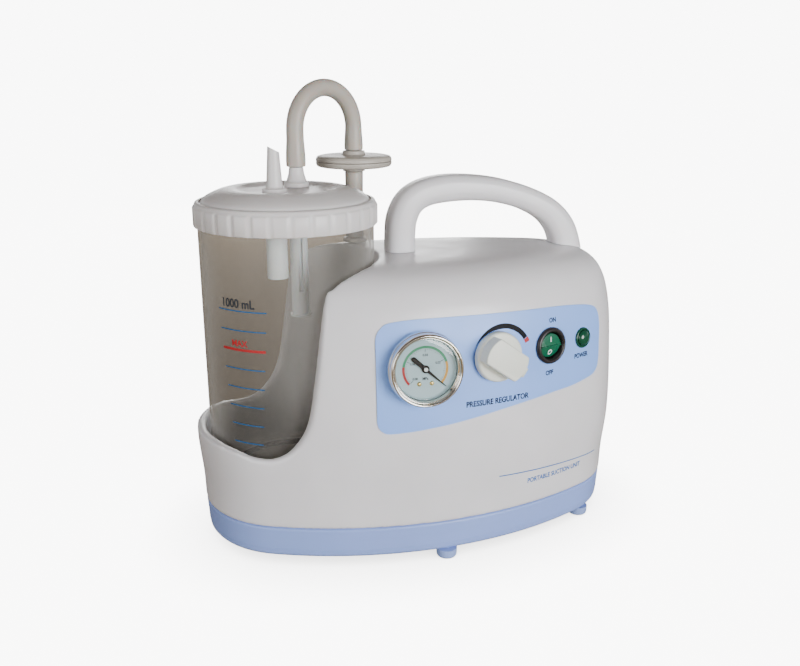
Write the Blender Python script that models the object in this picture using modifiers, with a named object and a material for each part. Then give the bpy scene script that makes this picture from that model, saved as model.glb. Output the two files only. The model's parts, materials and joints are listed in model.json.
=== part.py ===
"""Portable suction pump: a blue base tray and a white shell that cradles a clear
collection jar, with a vacuum gauge, a regulator knob, a rocker switch and a lamp on
its front, a piston pump inside, and a carry handle on top.

All lengths below are in millimetres, and the helpers turn them into metres. Places are
measured from the middle of the oval housing, on the floor: +X points away from the jar,
-Y is the front, +Z is up. The housing stands a little behind the world's origin, which
is under the middle of the whole unit, its knob included.
"""

import math

import bmesh
import bpy
from mathutils import Matrix, Vector

MM = 0.001
GAP = 0.3  # clearance between pieces that touch

# ---- plan of the housing: two end arcs joined by two flank arcs ----
END_X = 78.8  # centre of each end arc, and the axis of the jar
END_R = 61.35
FLANK_Y = 173.7  # how far behind the middle each flank arc is centred
FLANK_R = math.hypot(END_X, FLANK_Y) + END_R
MEET_ANGLE = math.atan2(FLANK_Y, END_X)  # where an end arc meets a flank arc

HOUSING_Y = 4.2  # from the world's origin to the middle of the housing

# ---- heights ----
FOOT_HEIGHT = 6.0
SEAM_Z = 26.4  # between the base tray and the shell
WELL_FLOOR_Z = 38.0
TOP_Z = 181.0

# (height, inset from the widest outline) up the side of the housing
BASE_SIDE = ((FOOT_HEIGHT, 5.6), (8, 4.1), (18, 3.5), (SEAM_Z - GAP, 2.9))
SHELL_SIDE = (
    (SEAM_Z, 2.7), (44, 2.2), (58, 0.9), (70, 0.0), (90, 0.1), (118, 1.5), (140, 3.2),
    (156, 6.2), (165, 9.6), (171, 13.6), (176, 20), (179, 28), (180.5, 38), (TOP_Z, 50),
)
WALL = 3.0

# ---- jar and its well ----
JAR_R = 53.3
JAR_WALL = 1.8
JAR_BOTTOM_Z = 41.0
JAR_TOP_Z = 210.7
WELL_R = 56.0
CUP_WALL = 3.5
# front edge of the opening that shows the jar, from the far left over to the top (x, z)
SADDLE = (
    (-150, 77), (-127, 75.5), (-112, 72.6), (-100, 72.8), (-90.5, 77.5), (-83.5, 86),
    (-78.8, 98), (-75.2, 118), (-71.3, 146), (-68.6, 165), (-65, 186), (-62, 210),
)

# ---- lid, nozzles, filter ----
LID_RING_R = 55.6
LID_RING_Z = (202.0, 216.7)
LID_DECK_Z = 221.8
FLUTES = 24
PATIENT_NOZZLE = (-87.0, -13.0)
VACUUM_NOZZLE = (-69.5, 14.0)
FILTER_PORT = (-27.0, 39.5)
HOSE_R = 6.0
HOSE_BORE_R = 3.7
HOSE_START_Z = 234.3
ARCH_TOP_Z = 281.0  # centre line
FILTER_Z = 234.5
FILTER_R = 25.0
FLOAT_Z = (141.4, 197.0)

# ---- controls on the front (x, z) ----
GAUGE = (-14.4, 127.6)
KNOB = (30.5, 130.3)
SWITCH = (68.6, 131.0)
LAMP = (94.6, 131.2)
LABEL_FACE = 0.75  # how far the label's front stands out of the shell

# ---- pump ----
SHAFT_Z = 58.0
MOTOR_X = (34.0, 100.0)
MOTOR_R = 32.0
CYLINDER_X = 10.0
CRANK_THROW = 3.0
CRANK_PIN_R = 3.5
SCREWS_AT = 50.0, 35.0  # distance from the end arc's centre, and angle in degrees

# ---- mains inlet on the rear (x, z) ----
INLET = (12.0, 58.0)

# ---- cooling slots on the rear ----
VENT_X = 44.0
VENT_PITCH = 9.0
VENT_COUNT = 5

FEET = {
    "front_left": (-97.0, -31.0),
    "front_middle": (3.6, -69.5),
    "front_right": (108.0, -42.0),
    "rear_left": (-97.0, 31.0),
    "rear_middle": (3.6, 69.5),
    "rear_right": (108.0, 42.0),
}

# name: (colour, roughness, metallic, alpha)
FINISHES = {
    "white_shell": ((0.61, 0.60, 0.62), 0.35, 0.0, 1.0),
    "blue_base": ((0.36, 0.44, 0.66), 0.40, 0.0, 1.0),
    "blue_label": ((0.38, 0.51, 0.75), 0.45, 0.0, 1.0),
    "foot_rubber": ((0.36, 0.44, 0.62), 0.75, 0.0, 1.0),
    "chrome": ((0.80, 0.80, 0.80), 0.12, 1.0, 1.0),
    "gauge_black": ((0.02, 0.02, 0.02), 0.50, 0.0, 1.0),
    "dial_white": ((0.80, 0.84, 0.84), 0.50, 0.0, 1.0),
    "clear": ((0.85, 0.87, 0.88), 0.05, 0.0, 0.3),
    "smoky_clear": ((0.62, 0.60, 0.58), 0.06, 0.0, 0.35),
    "knob_cream": ((0.68, 0.70, 0.62), 0.40, 0.0, 1.0),
    "switch_black": ((0.012, 0.010, 0.010), 0.35, 0.0, 1.0),
    "rocker_green": ((0.01, 0.19, 0.09), 0.30, 0.0, 1.0),
    "lamp_green": ((0.01, 0.08, 0.04), 0.15, 0.0, 1.0),
    "lid_white": ((0.60, 0.58, 0.58), 0.35, 0.0, 1.0),
    "hose_silicone": ((0.43, 0.39, 0.35), 0.50, 0.0, 1.0),
    "filter_plastic": ((0.38, 0.34, 0.30), 0.45, 0.0, 1.0),
    "membrane": ((0.80, 0.80, 0.78), 0.90, 0.0, 1.0),
    "float_plastic": ((0.62, 0.66, 0.66), 0.30, 0.0, 1.0),
    "black_rubber": ((0.02, 0.02, 0.02), 0.80, 0.0, 1.0),
    "steel": ((0.50, 0.50, 0.50), 0.35, 1.0, 1.0),
    "zinc_plate": ((0.55, 0.55, 0.52), 0.40, 1.0, 1.0),
    "aluminium": ((0.60, 0.60, 0.60), 0.35, 1.0, 1.0),
    "brass": ((0.62, 0.47, 0.18), 0.30, 1.0, 1.0),
    "inlet_black": ((0.015, 0.015, 0.015), 0.45, 0.0, 1.0),
}


# ---------------------------------------------------------------- scene set-up
def clear_scene():
    for obj in list(bpy.data.objects):
        bpy.data.objects.remove(obj, do_unlink=True)


def new_collection(name):
    group = bpy.data.collections.new(name)
    bpy.context.scene.collection.children.link(group)
    return group


def make_material(name):
    colour, roughness, metallic, alpha = FINISHES[name]
    material = bpy.data.materials.new(name)
    material.use_nodes = True
    shader = material.node_tree.nodes["Principled BSDF"]
    shader.inputs["Base Color"].default_value = (*colour, 1.0)
    shader.inputs["Roughness"].default_value = roughness
    shader.inputs["Metallic"].default_value = metallic
    shader.inputs["Alpha"].default_value = alpha
    return material


clear_scene()
PARTS = new_collection("suction_pump")
CUTTERS = new_collection("cutters")
MATERIALS = {name: make_material(name) for name in FINISHES}
HOUSING = bpy.data.objects.new("housing_middle", None)
HOUSING.location.y = HOUSING_Y * MM
PARTS.objects.link(HOUSING)


# ---------------------------------------------------------------- placing shapes
def empty(name, at=(0, 0, 0), turn=None):
    """An empty that carries the pieces of one assembly."""
    obj = bpy.data.objects.new(name, None)
    obj.empty_display_size = 10 * MM
    PARTS.objects.link(obj)
    obj.parent = HOUSING
    obj.matrix_local = turn if turn else Matrix.Translation(Vector(at) * MM)
    return obj


def put(obj, group, parent, at, turn):
    group.objects.link(obj)
    obj.parent = parent or HOUSING
    obj.location = Vector(at) * MM
    obj.rotation_euler = [math.radians(angle) for angle in turn]
    return obj


def part(name, obj, finish, parent=None, at=(0, 0, 0), turn=(0, 0, 0)):
    """Names a shape, gives it its material and puts it in the pump."""
    obj.name = name
    obj.data.name = name
    obj.data.materials.append(MATERIALS[finish])
    return put(obj, PARTS, parent, at, turn)


def helper(obj, parent=None, at=(0, 0, 0), turn=(0, 0, 0)):
    """A shape that only cuts or joins others."""
    obj.hide_render = True
    obj.display_type = "WIRE"
    return put(obj, CUTTERS, parent, at, turn)


def combine(target, operation, others):
    for other in others:
        boolean = target.modifiers.new(operation.lower(), "BOOLEAN")
        boolean.operation = operation
        boolean.object = other
        boolean.solver = "EXACT"
    return target


def cut(target, *others):
    return combine(target, "DIFFERENCE", others)


def join(target, *others):
    return combine(target, "UNION", others)


# ---------------------------------------------------------------- basic shapes
def mesh_object(name, bm, smooth_angle=35):
    mesh = bpy.data.meshes.new(name)
    bmesh.ops.recalc_face_normals(bm, faces=bm.faces)
    bm.to_mesh(mesh)
    bm.free()
    mesh.shade_smooth()
    mesh.set_sharp_from_angle(angle=math.radians(smooth_angle))
    return bpy.data.objects.new(name, mesh)


def block(size, at=(0, 0, 0), bevel=0.0):
    """A box of this size centred at this place, with its edges rounded if asked."""
    bm = bmesh.new()
    bmesh.ops.create_cube(bm, size=1)
    bmesh.ops.scale(bm, vec=Vector(size) * MM, verts=bm.verts)
    bmesh.ops.translate(bm, vec=Vector(at) * MM, verts=bm.verts)
    obj = mesh_object("block", bm)
    if bevel:
        rounding = obj.modifiers.new("rounding", "BEVEL")
        rounding.width = bevel * MM
        rounding.segments = 2
    return obj


def rod(radius, z0, z1, at=(0, 0), sides=24, top_radius=None):
    """A cylinder or cone between two heights."""
    bm = bmesh.new()
    bmesh.ops.create_cone(
        bm, cap_ends=True, segments=sides, depth=(z1 - z0) * MM, radius1=radius * MM,
        radius2=(radius if top_radius is None else top_radius) * MM,
    )
    bmesh.ops.translate(bm, vec=Vector((*at, (z0 + z1) / 2)) * MM, verts=bm.verts)
    return mesh_object("rod", bm)


def turned(profile, steps=32, ring=False):
    """A profile of (radius, height) points turned about Z. It runs down the outer side;
    a ring's profile closes on itself and any other one starts and ends on the axis."""
    bm = bmesh.new()
    points = [bm.verts.new(Vector((radius, 0, z)) * MM) for radius, z in profile]
    for first, second in zip(points, points[1:] + points[:1] if ring else points[1:]):
        bm.edges.new((first, second))
    mesh = bpy.data.meshes.new("turned")
    bm.to_mesh(mesh)
    bm.free()
    obj = bpy.data.objects.new("turned", mesh)
    screw = obj.modifiers.new("turn", "SCREW")
    screw.steps = steps
    screw.render_steps = steps
    screw.use_merge_vertices = True
    screw.merge_threshold = 0.00001
    return obj


def curve_mesh(curve):
    """The closed mesh of a curve, with its loose caps welded on."""
    source = bpy.data.objects.new("curve", curve)
    bpy.context.scene.collection.objects.link(source)
    graph = bpy.context.evaluated_depsgraph_get()
    mesh = bpy.data.meshes.new_from_object(source.evaluated_get(graph))
    bpy.data.objects.remove(source)
    bm = bmesh.new()
    bm.from_mesh(mesh)
    bmesh.ops.remove_doubles(bm, verts=bm.verts, dist=0.000001)
    return mesh_object("curve", bm)


def add_spline(curve, points, closed):
    spline = curve.splines.new("POLY")
    spline.points.add(len(points) - 1)
    for target, point in zip(spline.points, points):
        target.co = (*(Vector(point) * MM), 1)
    spline.use_cyclic_u = closed


def plate(outline, z0, z1, holes=()):
    """A flat plate with this (x, y) outline between two heights."""
    curve = bpy.data.curves.new("outline", "CURVE")
    curve.dimensions = "2D"
    curve.fill_mode = "BOTH"
    curve.extrude = (z1 - z0) / 2 * MM
    for loop in (outline, *holes):
        add_spline(curve, [(x, y, 0) for x, y in loop], True)
    obj = curve_mesh(curve)
    obj.data.transform(Matrix.Translation((0, 0, (z0 + z1) / 2 * MM)))
    return obj


def tube(points, radius, roundness=2):
    """A solid tube along a line of points."""
    curve = bpy.data.curves.new("tube", "CURVE")
    curve.dimensions = "3D"
    curve.bevel_depth = radius * MM
    curve.bevel_resolution = roundness
    curve.use_fill_caps = True
    add_spline(curve, points, False)
    return curve_mesh(curve)


def loft(rings):
    """A closed solid through rings of equal point counts, from the first to the last."""
    bm = bmesh.new()
    loops = [[bm.verts.new(Vector(point) * MM) for point in ring] for ring in rings]
    for low, high in zip(loops, loops[1:]):
        for i in range(len(low)):
            j = (i + 1) % len(low)
            bm.faces.new((low[i], low[j], high[j], high[i]))
    bm.faces.new(reversed(loops[0]))
    bm.faces.new(loops[-1])
    return mesh_object("loft", bm, 50)


# ---------------------------------------------------------------- lines and outlines
def arc(centre, radius, start, end, steps):
    """Points of an arc, without its last one."""
    turns = [start + (end - start) * i / steps for i in range(steps)]
    return [(centre[0] + radius * math.cos(a), centre[1] + radius * math.sin(a)) for a in turns]


def oval(inset, end_steps=10, flank_steps=6):
    """The plan of the housing, this far inside its widest outline."""
    meet = MEET_ANGLE
    end_r = END_R - inset
    flank_r = FLANK_R - inset
    return (
        arc((END_X, 0), end_r, -meet, meet, end_steps)
        + arc((0, -FLANK_Y), flank_r, meet, math.pi - meet, flank_steps)
        + arc((-END_X, 0), end_r, math.pi - meet, math.pi + meet, end_steps)
        + arc((0, FLANK_Y), flank_r, math.pi + meet, 2 * math.pi - meet, flank_steps)
    )


def smooth_line(points, steps=2):
    """A Catmull-Rom line through the points."""
    padded = [points[0], *points, points[-1]]
    line = []
    for i in range(len(points) - 1):
        a, b, c, d = (Vector(p) for p in padded[i:i + 4])
        for k in range(steps):
            t = k / steps
            line.append(tuple(0.5 * (
                2 * b + (c - a) * t + (2 * a - 5 * b + 4 * c - d) * t * t
                + (3 * b - a - 3 * c + d) * t * t * t
            )))
    return [*line, tuple(points[-1])]


def offset_line(points, distance):
    """The line moved to the right of its own direction."""
    moved = []
    for i, point in enumerate(points):
        ahead = Vector(points[min(i + 1, len(points) - 1)])
        behind = Vector(points[max(i - 1, 0)])
        along = (ahead - behind).normalized()
        moved.append((point[0] + along[1] * distance, point[1] - along[0] * distance))
    return moved


def housing(side, outset=0.0):
    """A solid with the oval plan and this side profile, grown or shrunk along its normals."""
    line = offset_line([(z, -inset) for z, inset in side], -outset)
    return loft([[(x, y, z) for x, y in oval(-out)] for z, out in line])


def side_inset(z):
    """Inset of the shell's side at a height, and how fast it grows."""
    for (z0, inset0), (z1, inset1) in zip(SHELL_SIDE, SHELL_SIDE[1:]):
        if z <= z1:
            slope = (inset1 - inset0) / (z1 - z0)
            return inset0 + slope * (z - z0), slope
    return SHELL_SIDE[-1][1], 0.0


def wall_frame(x, z, face=-1):
    """A frame on the shell's flank at x and z, with +Z out of the wall, +X to the right
    and +Y up for someone who looks at it. Face -1 is the front, and 1 the rear."""
    inset, slope = side_inset(z)
    radius = FLANK_R - inset
    out = Vector((x, face * math.sqrt(radius * radius - x * x), 0)).normalized()
    at = Vector((x, radius * out.y - face * FLANK_Y, z))
    normal = (out + Vector((0, 0, slope))).normalized()
    right = Vector((0, 0, 1)).cross(normal).normalized()
    up = normal.cross(right)
    turn = Matrix((right, up, normal)).transposed().to_4x4()
    return Matrix.Translation(at * MM) @ turn


jar_axis = empty("jar_axis", (-END_X, 0, 0))
gauge_frame = empty("gauge_frame", turn=wall_frame(*GAUGE))
knob_axis = empty("knob_axis", turn=wall_frame(*KNOB))
switch_frame = empty("switch_frame", turn=wall_frame(*SWITCH))
lamp_frame = empty("lamp_frame", turn=wall_frame(*LAMP))
inlet_frame = empty("inlet_frame", turn=wall_frame(*INLET, face=1))
shaft_axis = empty("shaft_axis", (0, 0, SHAFT_Z))


def screw_places():
    distance, angle = SCREWS_AT
    x = END_X + distance * math.cos(math.radians(angle))
    y = distance * math.sin(math.radians(angle))
    return {"front_left": (-x, -y), "front_right": (x, -y),
            "rear_left": (-x, y), "rear_right": (x, y)}


# ---------------------------------------------------------------- housing
SCREW_TOP_Z = 36.0
POST_BOTTOM = 31.4


def make_upper_shell():
    """The white shell: an oval cover with a cup for the jar, open below."""
    shell = part("upper_shell", housing(SHELL_SIDE), "white_shell")
    edge = smooth_line(SADDLE)
    above = [(-62, 270), (-170, 270), (-170, 77)]
    saddle = helper(plate(edge + above, -100, 100), turn=(90, 0, 0))
    grown = helper(plate(offset_line(edge, WALL) + above, -100, 100), turn=(90, 0, 0))
    cavity_side = ((SEAM_Z - 8, 2.7), (44, 2.2), (70, 0.2), (116, 1.4), (149, 4.6),
                   (165, 9.6), (174, 16.8), (179, 28), (TOP_Z, 50))
    cavity = helper(housing(cavity_side, -WALL))
    cup = helper(rod(WELL_R + CUP_WALL, WELL_FLOOR_Z - WALL, 300, sides=44), jar_axis)
    cut(cavity, grown, cup)
    for x, y in screw_places().values():
        top = 60 if x > 0 else WELL_FLOOR_Z - 1
        post = helper(rod(8.5, POST_BOTTOM, top, (x, y), 12))
        cut(cavity, post)
    well = helper(rod(WELL_R, WELL_FLOOR_Z, 300, sides=44), jar_axis)
    cut(shell, cavity, well, saddle)
    for x, y in screw_places().values():
        cut(shell, helper(rod(2.3, 20, WELL_FLOOR_Z - 1.5, (x, y), 8)))
    cut(
        shell,
        helper(rod(20.6, -12, 9, sides=32), gauge_frame),
        helper(rod(5.4, -12, 9, sides=16), knob_axis),
        helper(rod(10.4, -12, 9, sides=24), switch_frame),
        helper(rod(5.0, -12, 9, sides=16), lamp_frame),
        helper(block((28, 28.6, 20)), inlet_frame),
        helper(rod(4.6, 150, 200, FILTER_PORT, 16)),
    )
    for i in range(VENT_COUNT):
        cut(shell, helper(block((3.6, 30, 30), (VENT_X + VENT_PITCH * i, 75, 64))))
    for x in HANDLE_ROOTS:
        cut(shell, helper(rod(HANDLE_PEG_R + GAP, 150, 200, (x, 0), 16)))


def make_base_tray():
    """The light blue tray that everything stands on, with a lip inside the shell."""
    tray = part("base_tray", housing(BASE_SIDE), "blue_base")
    lip = helper(loft([[(x, y, z) for x, y in oval(6.2)] for z in (12, 31)]))
    inside = helper(loft([[(x, y, z) for x, y in oval(8.6)] for z in (9, 40)]))
    join(tray, lip)
    for x, y in screw_places().values():
        cut(inside, helper(rod(6.5, 0, 60, (x, y), 10)))
    cut(tray, inside)
    for x, y in screw_places().values():
        cut(tray, helper(rod(2.3, 0, 40, (x, y), 8)), helper(rod(4.3, 0, 11.7, (x, y), 10)))
    for x, y in FEET.values():
        cut(tray, helper(rod(2.3, 0, 12, (x, y), 8)))
    for i in range(4):
        cut(tray, helper(block((4, 40, 20), (62 + 10 * i, 0, 9))))


def make_feet():
    for name, (x, y) in FEET.items():
        foot = ((0, FOOT_HEIGHT + 5.2), (1.9, FOOT_HEIGHT + 5.2), (1.9, FOOT_HEIGHT - GAP),
                (6.5, FOOT_HEIGHT - GAP), (6.4, 1.2), (5.6, 0), (0, 0))
        part(f"foot_{name}", turned(foot, 12), "foot_rubber", at=(x, y, 0))


def make_base_screws():
    for name, (x, y) in screw_places().items():
        screw = ((0, SCREW_TOP_Z), (1.9, SCREW_TOP_Z - 1), (1.9, 11.4), (3.6, 11.4),
                 (3.4, 9.6), (2.4, 8.9), (0, 8.9))
        part(f"base_screw_{name}", turned(screw, 10), "steel", at=(x, y, 0))


# ---------------------------------------------------------------- carry handle
HANDLE_DEPTH = 20.0
HANDLE_ROOTS = (-7.0, 108.5)
HANDLE_PEG_R = 4.0
# (x, z, thickness) along its middle
HANDLE_LINE = (
    (-7, 170, 18), (-7, 192, 18), (-5.5, 203, 18), (-0.5, 212, 17.5), (9, 217.5, 17),
    (24, 219.8, 17), (42, 219.5, 16), (60, 216.8, 15.5), (78, 211.2, 15.5), (93.5, 203, 16.5),
    (103.5, 192, 18), (108.5, 178, 19), (110, 166, 19.5),
)


def section(width, depth, corner, per_corner=3):
    """A rounded rectangle about the origin."""
    points = []
    for sx, sy, start in ((1, 1, 0), (-1, 1, 90), (-1, -1, 180), (1, -1, 270)):
        centre = (sx * (width / 2 - corner), sy * (depth / 2 - corner))
        for i in range(per_corner + 1):
            angle = math.radians(start + 90 * i / per_corner)
            points.append((centre[0] + corner * math.cos(angle),
                           centre[1] + corner * math.sin(angle)))
    return points


def make_carry_handle():
    rings = []
    stations = smooth_line(HANDLE_LINE, 1)
    for i, (x, z, thick) in enumerate(stations):
        ahead = stations[min(i + 1, len(stations) - 1)]
        behind = stations[max(i - 1, 0)]
        along = Vector((ahead[0] - behind[0], ahead[1] - behind[1])).normalized()
        outward = Vector((-along[1], along[0]))
        rings.append([(x + outward[0] * u, v, z + outward[1] * u)
                      for u, v in section(thick, HANDLE_DEPTH, 6)])
    handle = part("carry_handle", loft(rings), "white_shell")
    cut(handle, helper(housing(SHELL_SIDE, GAP)))
    for x in HANDLE_ROOTS:
        join(handle, helper(rod(HANDLE_PEG_R, 168, 190, (x, 0), 16)))


# ---------------------------------------------------------------- control panel
# (x, height of the lower edge, height of the upper edge)
LABEL_SPAN = (
    (-42, 96.5, 143), (-41.2, 93, 147.5), (-38.5, 90, 151.4), (-34, 88.9, 154),
    (-20, 89.6, 155.4), (0, 91.8, 155.6), (18, 94.3, 155.4), (36, 97, 155.1), (54, 99.2, 154.6),
    (72, 101, 154), (87, 102, 152.8), (99, 103.8, 151), (106, 105.6, 148.6),
    (109.6, 109.4, 143.6), (110.8, 116, 136),
)
LABEL_ROWS = 4


def label_point(x, z, out):
    inset = side_inset(z)[0]
    meet_x = END_X + END_R * math.cos(MEET_ANGLE)
    if abs(x) < meet_x:
        radius = FLANK_R - inset + out
        return (x, FLANK_Y - math.sqrt(radius * radius - x * x), z)
    radius = END_R - inset + out
    return (x, -math.sqrt(radius * radius - (x - END_X) ** 2), z)


def make_control_panel_label():
    """The blue label that wraps the front, a thin skin that follows the wall."""
    bm = bmesh.new()
    rows = []
    for x, low, high in LABEL_SPAN:
        heights = [low + (high - low) * i / LABEL_ROWS for i in range(LABEL_ROWS + 1)]
        rows.append([bm.verts.new(Vector(label_point(x, z, LABEL_FACE)) * MM) for z in heights])
    for left, right in zip(rows, rows[1:]):
        for i in range(LABEL_ROWS):
            bm.faces.new((left[i], right[i], right[i + 1], left[i + 1]))
    label = part("control_panel_label", mesh_object("label", bm), "blue_label")
    skin = label.modifiers.new("thickness", "SOLIDIFY")
    skin.thickness = 0.4 * MM
    skin.offset = -1
    cut(
        label,
        helper(rod(21.0, -12, 9, sides=24), gauge_frame),
        helper(rod(6.4, -12, 9, sides=12), knob_axis),
        helper(rod(10.8, -12, 9, sides=18), switch_frame),
        helper(rod(5.3, -12, 9, sides=12), lamp_frame),
    )


# ---------------------------------------------------------------- vacuum gauge
DIAL_R = 17.9
DIAL_Z = 3.6  # the printed face
POINTER_REST = -42.0  # degrees from the local +X: the tip is at the lower right


def make_gauge():
    case = part("gauge_case", turned((
        (20.2, 1.2), (20.2, -20), (18.5, -21.5), (5, -19.5), (5, -17.5), (18.4, -17.5),
        (18.4, 1.2)), 24, ring=True), "gauge_black", gauge_frame)
    barb = helper(turned((
        (5.6, -17), (5.6, -27), (2.4, -35), (1.2, -35), (1.2, -17)), 10, ring=True),
        gauge_frame)
    join(case, barb)
    part("gauge_bezel", turned((
        (20.3, 10.5), (21.7, 9.2), (21.9, 1.6), (18.2, 1.5), (18.2, 7.4), (19.4, 8.0)),
        36, ring=True), "chrome", gauge_frame)
    dial = part("gauge_dial", rod(DIAL_R, 2.6, DIAL_Z, sides=28), "dial_white", gauge_frame)
    cut(dial, helper(rod(1.4, -5, 5, sides=12), gauge_frame))
    lens = ((0, 7.1), (DIAL_R, 7.1), (DIAL_R, 5.8), (0, 5.8))
    part("gauge_lens", turned(lens, 28), "clear", gauge_frame)
    tip = 16.2
    tail = 10.6
    needle = plate([(tip, 0.15), (4, 0.75), (0, 1.1), (-tail, 1.3), (-tail, -1.3), (0, -1.1),
                    (4, -0.75), (tip, -0.15)], DIAL_Z + 0.6, DIAL_Z + 1.1)
    pointer = part("gauge_pointer", needle, "gauge_black", gauge_frame,
                   turn=(0, 0, POINTER_REST))
    join(pointer, helper(rod(2.0, DIAL_Z + 0.4, DIAL_Z + 1.6, sides=16), pointer),
         helper(rod(0.9, -14, DIAL_Z + 0.9, sides=12), pointer))


# ---------------------------------------------------------------- regulator
KNOB_R = 15.0
KNOB_FACE = 6.4
GRIP_TOP = 15.0
GRIP_WIDTH = 16.4
KNOB_TURN = -36.0  # degrees from the local +X: the nib points to the lower right


def make_regulator():
    part("regulator_valve", turned((
        (5.0, 3.3), (5.0, -4.6), (10.0, -4.6), (10.0, -27), (1.2, -27), (1.2, -16),
        (3.3, -16), (3.3, 3.3)), 16, ring=True), "brass", knob_axis)
    spindle = ((0, 8.0), (2.95, 8.0), (2.95, -15.0), (2.0, -15.7), (0, -15.7))
    part("regulator_spindle", turned(spindle, 12), "steel", knob_axis)
    nut = part("regulator_nut", rod(8.0, 1.2, 3.0, sides=6), "zinc_plate", knob_axis)
    cut(nut, helper(rod(5.4, -5, 9, sides=16), knob_axis))
    knob = part("regulator_knob", turned((
        (0, KNOB_FACE), (KNOB_R - 1.5, KNOB_FACE), (KNOB_R - 0.3, KNOB_FACE - 1.2),
        (KNOB_R, 1.8), (KNOB_R - 1.5, 1.8), (KNOB_R - 2, 4.4), (5, 4.4), (5, 3.6), (0, 3.6)),
        24), "knob_cream", knob_axis, turn=(0, 0, KNOB_TURN))
    end_r = KNOB_R - 1.2
    spread = math.asin(GRIP_WIDTH / 2 / end_r)
    steps = 6
    past_end = spread * (1 + 2 / (steps - 1))  # an arc leaves its last point out
    outline = (arc((0, 0), end_r, -spread, past_end, steps)
               + arc((0, 0), end_r, math.pi - spread, math.pi + past_end, steps))
    join(knob, helper(plate(outline, KNOB_FACE - 1.2, GRIP_TOP), knob),
         helper(block((7, 6.4, 7.4), (KNOB_R - 0.4, 0, 6.4), 0.8), knob))
    cut(knob, helper(rod(3.15, 2, 8.4, sides=12), knob))


# ---------------------------------------------------------------- switch and lamp
ROCKER_REST = 8.0  # degrees that its lower half stands out
ROCKER_R = 7.5


def make_switch():
    part("switch_body", turned((
        (9.8, 3.4), (11.3, 2.4), (11.3, 1.1), (10.0, 1.1), (10.0, -22), (3.0, -22),
        (3.0, -20.4), (8.4, -20.4), (8.4, 2.2)),
        22, ring=True), "switch_black", switch_frame)
    rocker = part("switch_rocker", turned((
        (0, 2.6), (ROCKER_R, 2.6), (ROCKER_R, -2.2), (0, -2.2)), 20), "rocker_green", switch_frame,
        turn=(ROCKER_REST, 0, 0))
    for end in (-1, 1):
        wedge = helper(block((24, 12, 4), (0, end * 6, 3.6)), rocker, turn=(end * -9, 0, 0))
        cut(rocker, wedge)
    axle = helper(rod(1.3, -8.0, 8.0, sides=12), rocker, turn=(0, 90, 0))
    join(rocker, axle)


def make_lamp():
    part("lamp_body", turned((
        (6.3, 2.2), (6.6, 1.1), (4.7, 1.1), (4.7, -16), (1.5, -16), (1.5, -14.5),
        (4.0, -14.5), (4.0, 0.2), (5.4, 1.6), (5.4, 2.2)),
        16, ring=True), "lamp_green", lamp_frame)
    lens = ((0, 4.8), (2.6, 4.4), (4.3, 3.4), (5.0, 1.9), (3.6, 0.4), (3.6, -2), (0, -2))
    part("lamp_lens", turned(lens, 16), "lamp_green", lamp_frame)


# ---------------------------------------------------------------- jar and lid
def make_jar():
    part("jar_seat_ring", turned((
        (44.0, 40.6), (44.8, 38.3), (40.2, 38.3), (41.0, 40.6)),
        32, ring=True), "black_rubber", jar_axis)
    inner = JAR_R - JAR_WALL
    part("collection_jar", turned((
        (JAR_R, JAR_TOP_Z), (JAR_R, JAR_BOTTOM_Z + 4), (JAR_R - 4, JAR_BOTTOM_Z),
        (0, JAR_BOTTOM_Z), (0, JAR_BOTTOM_Z + 2.4), (inner - 4, JAR_BOTTOM_Z + 2.4),
        (inner, JAR_BOTTOM_Z + 6), (inner, JAR_TOP_Z)), 32, ring=True), "smoky_clear", jar_axis)


def make_lid():
    part("lid_gasket", turned((
        (53.2, 212.0), (53.2, 211.0), (49.9, 211.0), (49.9, 212.0)), 28, ring=True),
        "hose_silicone", jar_axis)
    cover = part("lid_cover", turned((
        (0, LID_DECK_Z), (27, LID_DECK_Z), (31.5, 224.2), (37, 223.7), (45, 220.9),
        (50, 217.8), (51.4, 214.6), (53.4, 214.6), (53.4, 212.3), (49.6, 212.3), (49.6, 207),
        (47.8, 207), (47.8, 214.5), (42, 219.5), (31, 221.8), (26.5, 219.4), (0, 219.4)),
        32), "lid_white", jar_axis)
    for x, y in (PATIENT_NOZZLE, VACUUM_NOZZLE):
        cut(cover, helper(rod(4.6, 200, 240, (x, y), 12)))
    make_lid_ring()
    make_nozzles()
    make_float_valve()


def make_lid_ring():
    """The fluted ring that screws the lid down on the jar."""
    outline = []
    for i in range(FLUTES):
        for share, radius in ((0, 55.0), (0.5, LID_RING_R)):
            angle = 2 * math.pi * (i + share) / FLUTES
            outline.append((radius * math.cos(angle), radius * math.sin(angle)))
    low, high = LID_RING_Z
    ring = part("lid_ring", plate(outline, low, high), "lid_white", jar_axis)
    bore = helper(turned((
        (0, high + 5), (51.8, high + 5), (51.8, high - 1.8), (53.9, high - 1.8),
        (53.9, low - 5), (0, low - 5)), 32), jar_axis)
    cut(ring, bore)


def make_nozzles():
    flange = LID_DECK_Z + GAP
    part("patient_nozzle", turned((
        (3.6, 249), (4.7, 228), (5.2, 225.6), (8, 224.2), (8, flange), (4.2, flange),
        (4.2, 205), (2.5, 205), (2.5, 249)), 16, ring=True), "lid_white",
        at=(*PATIENT_NOZZLE, 0))
    part("vacuum_nozzle", turned((
        (3.1, 247), (3.2, HOSE_START_Z - GAP), (4.4, HOSE_START_Z - GAP),
        (5.0, 229), (6.6, 225.4), (8, 224.2), (8, flange), (4.2, flange), (4.2, 209.2),
        (2.2, 209.2), (2.2, 247)), 14, ring=True), "lid_white", at=(*VACUUM_NOZZLE, 0))


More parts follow.
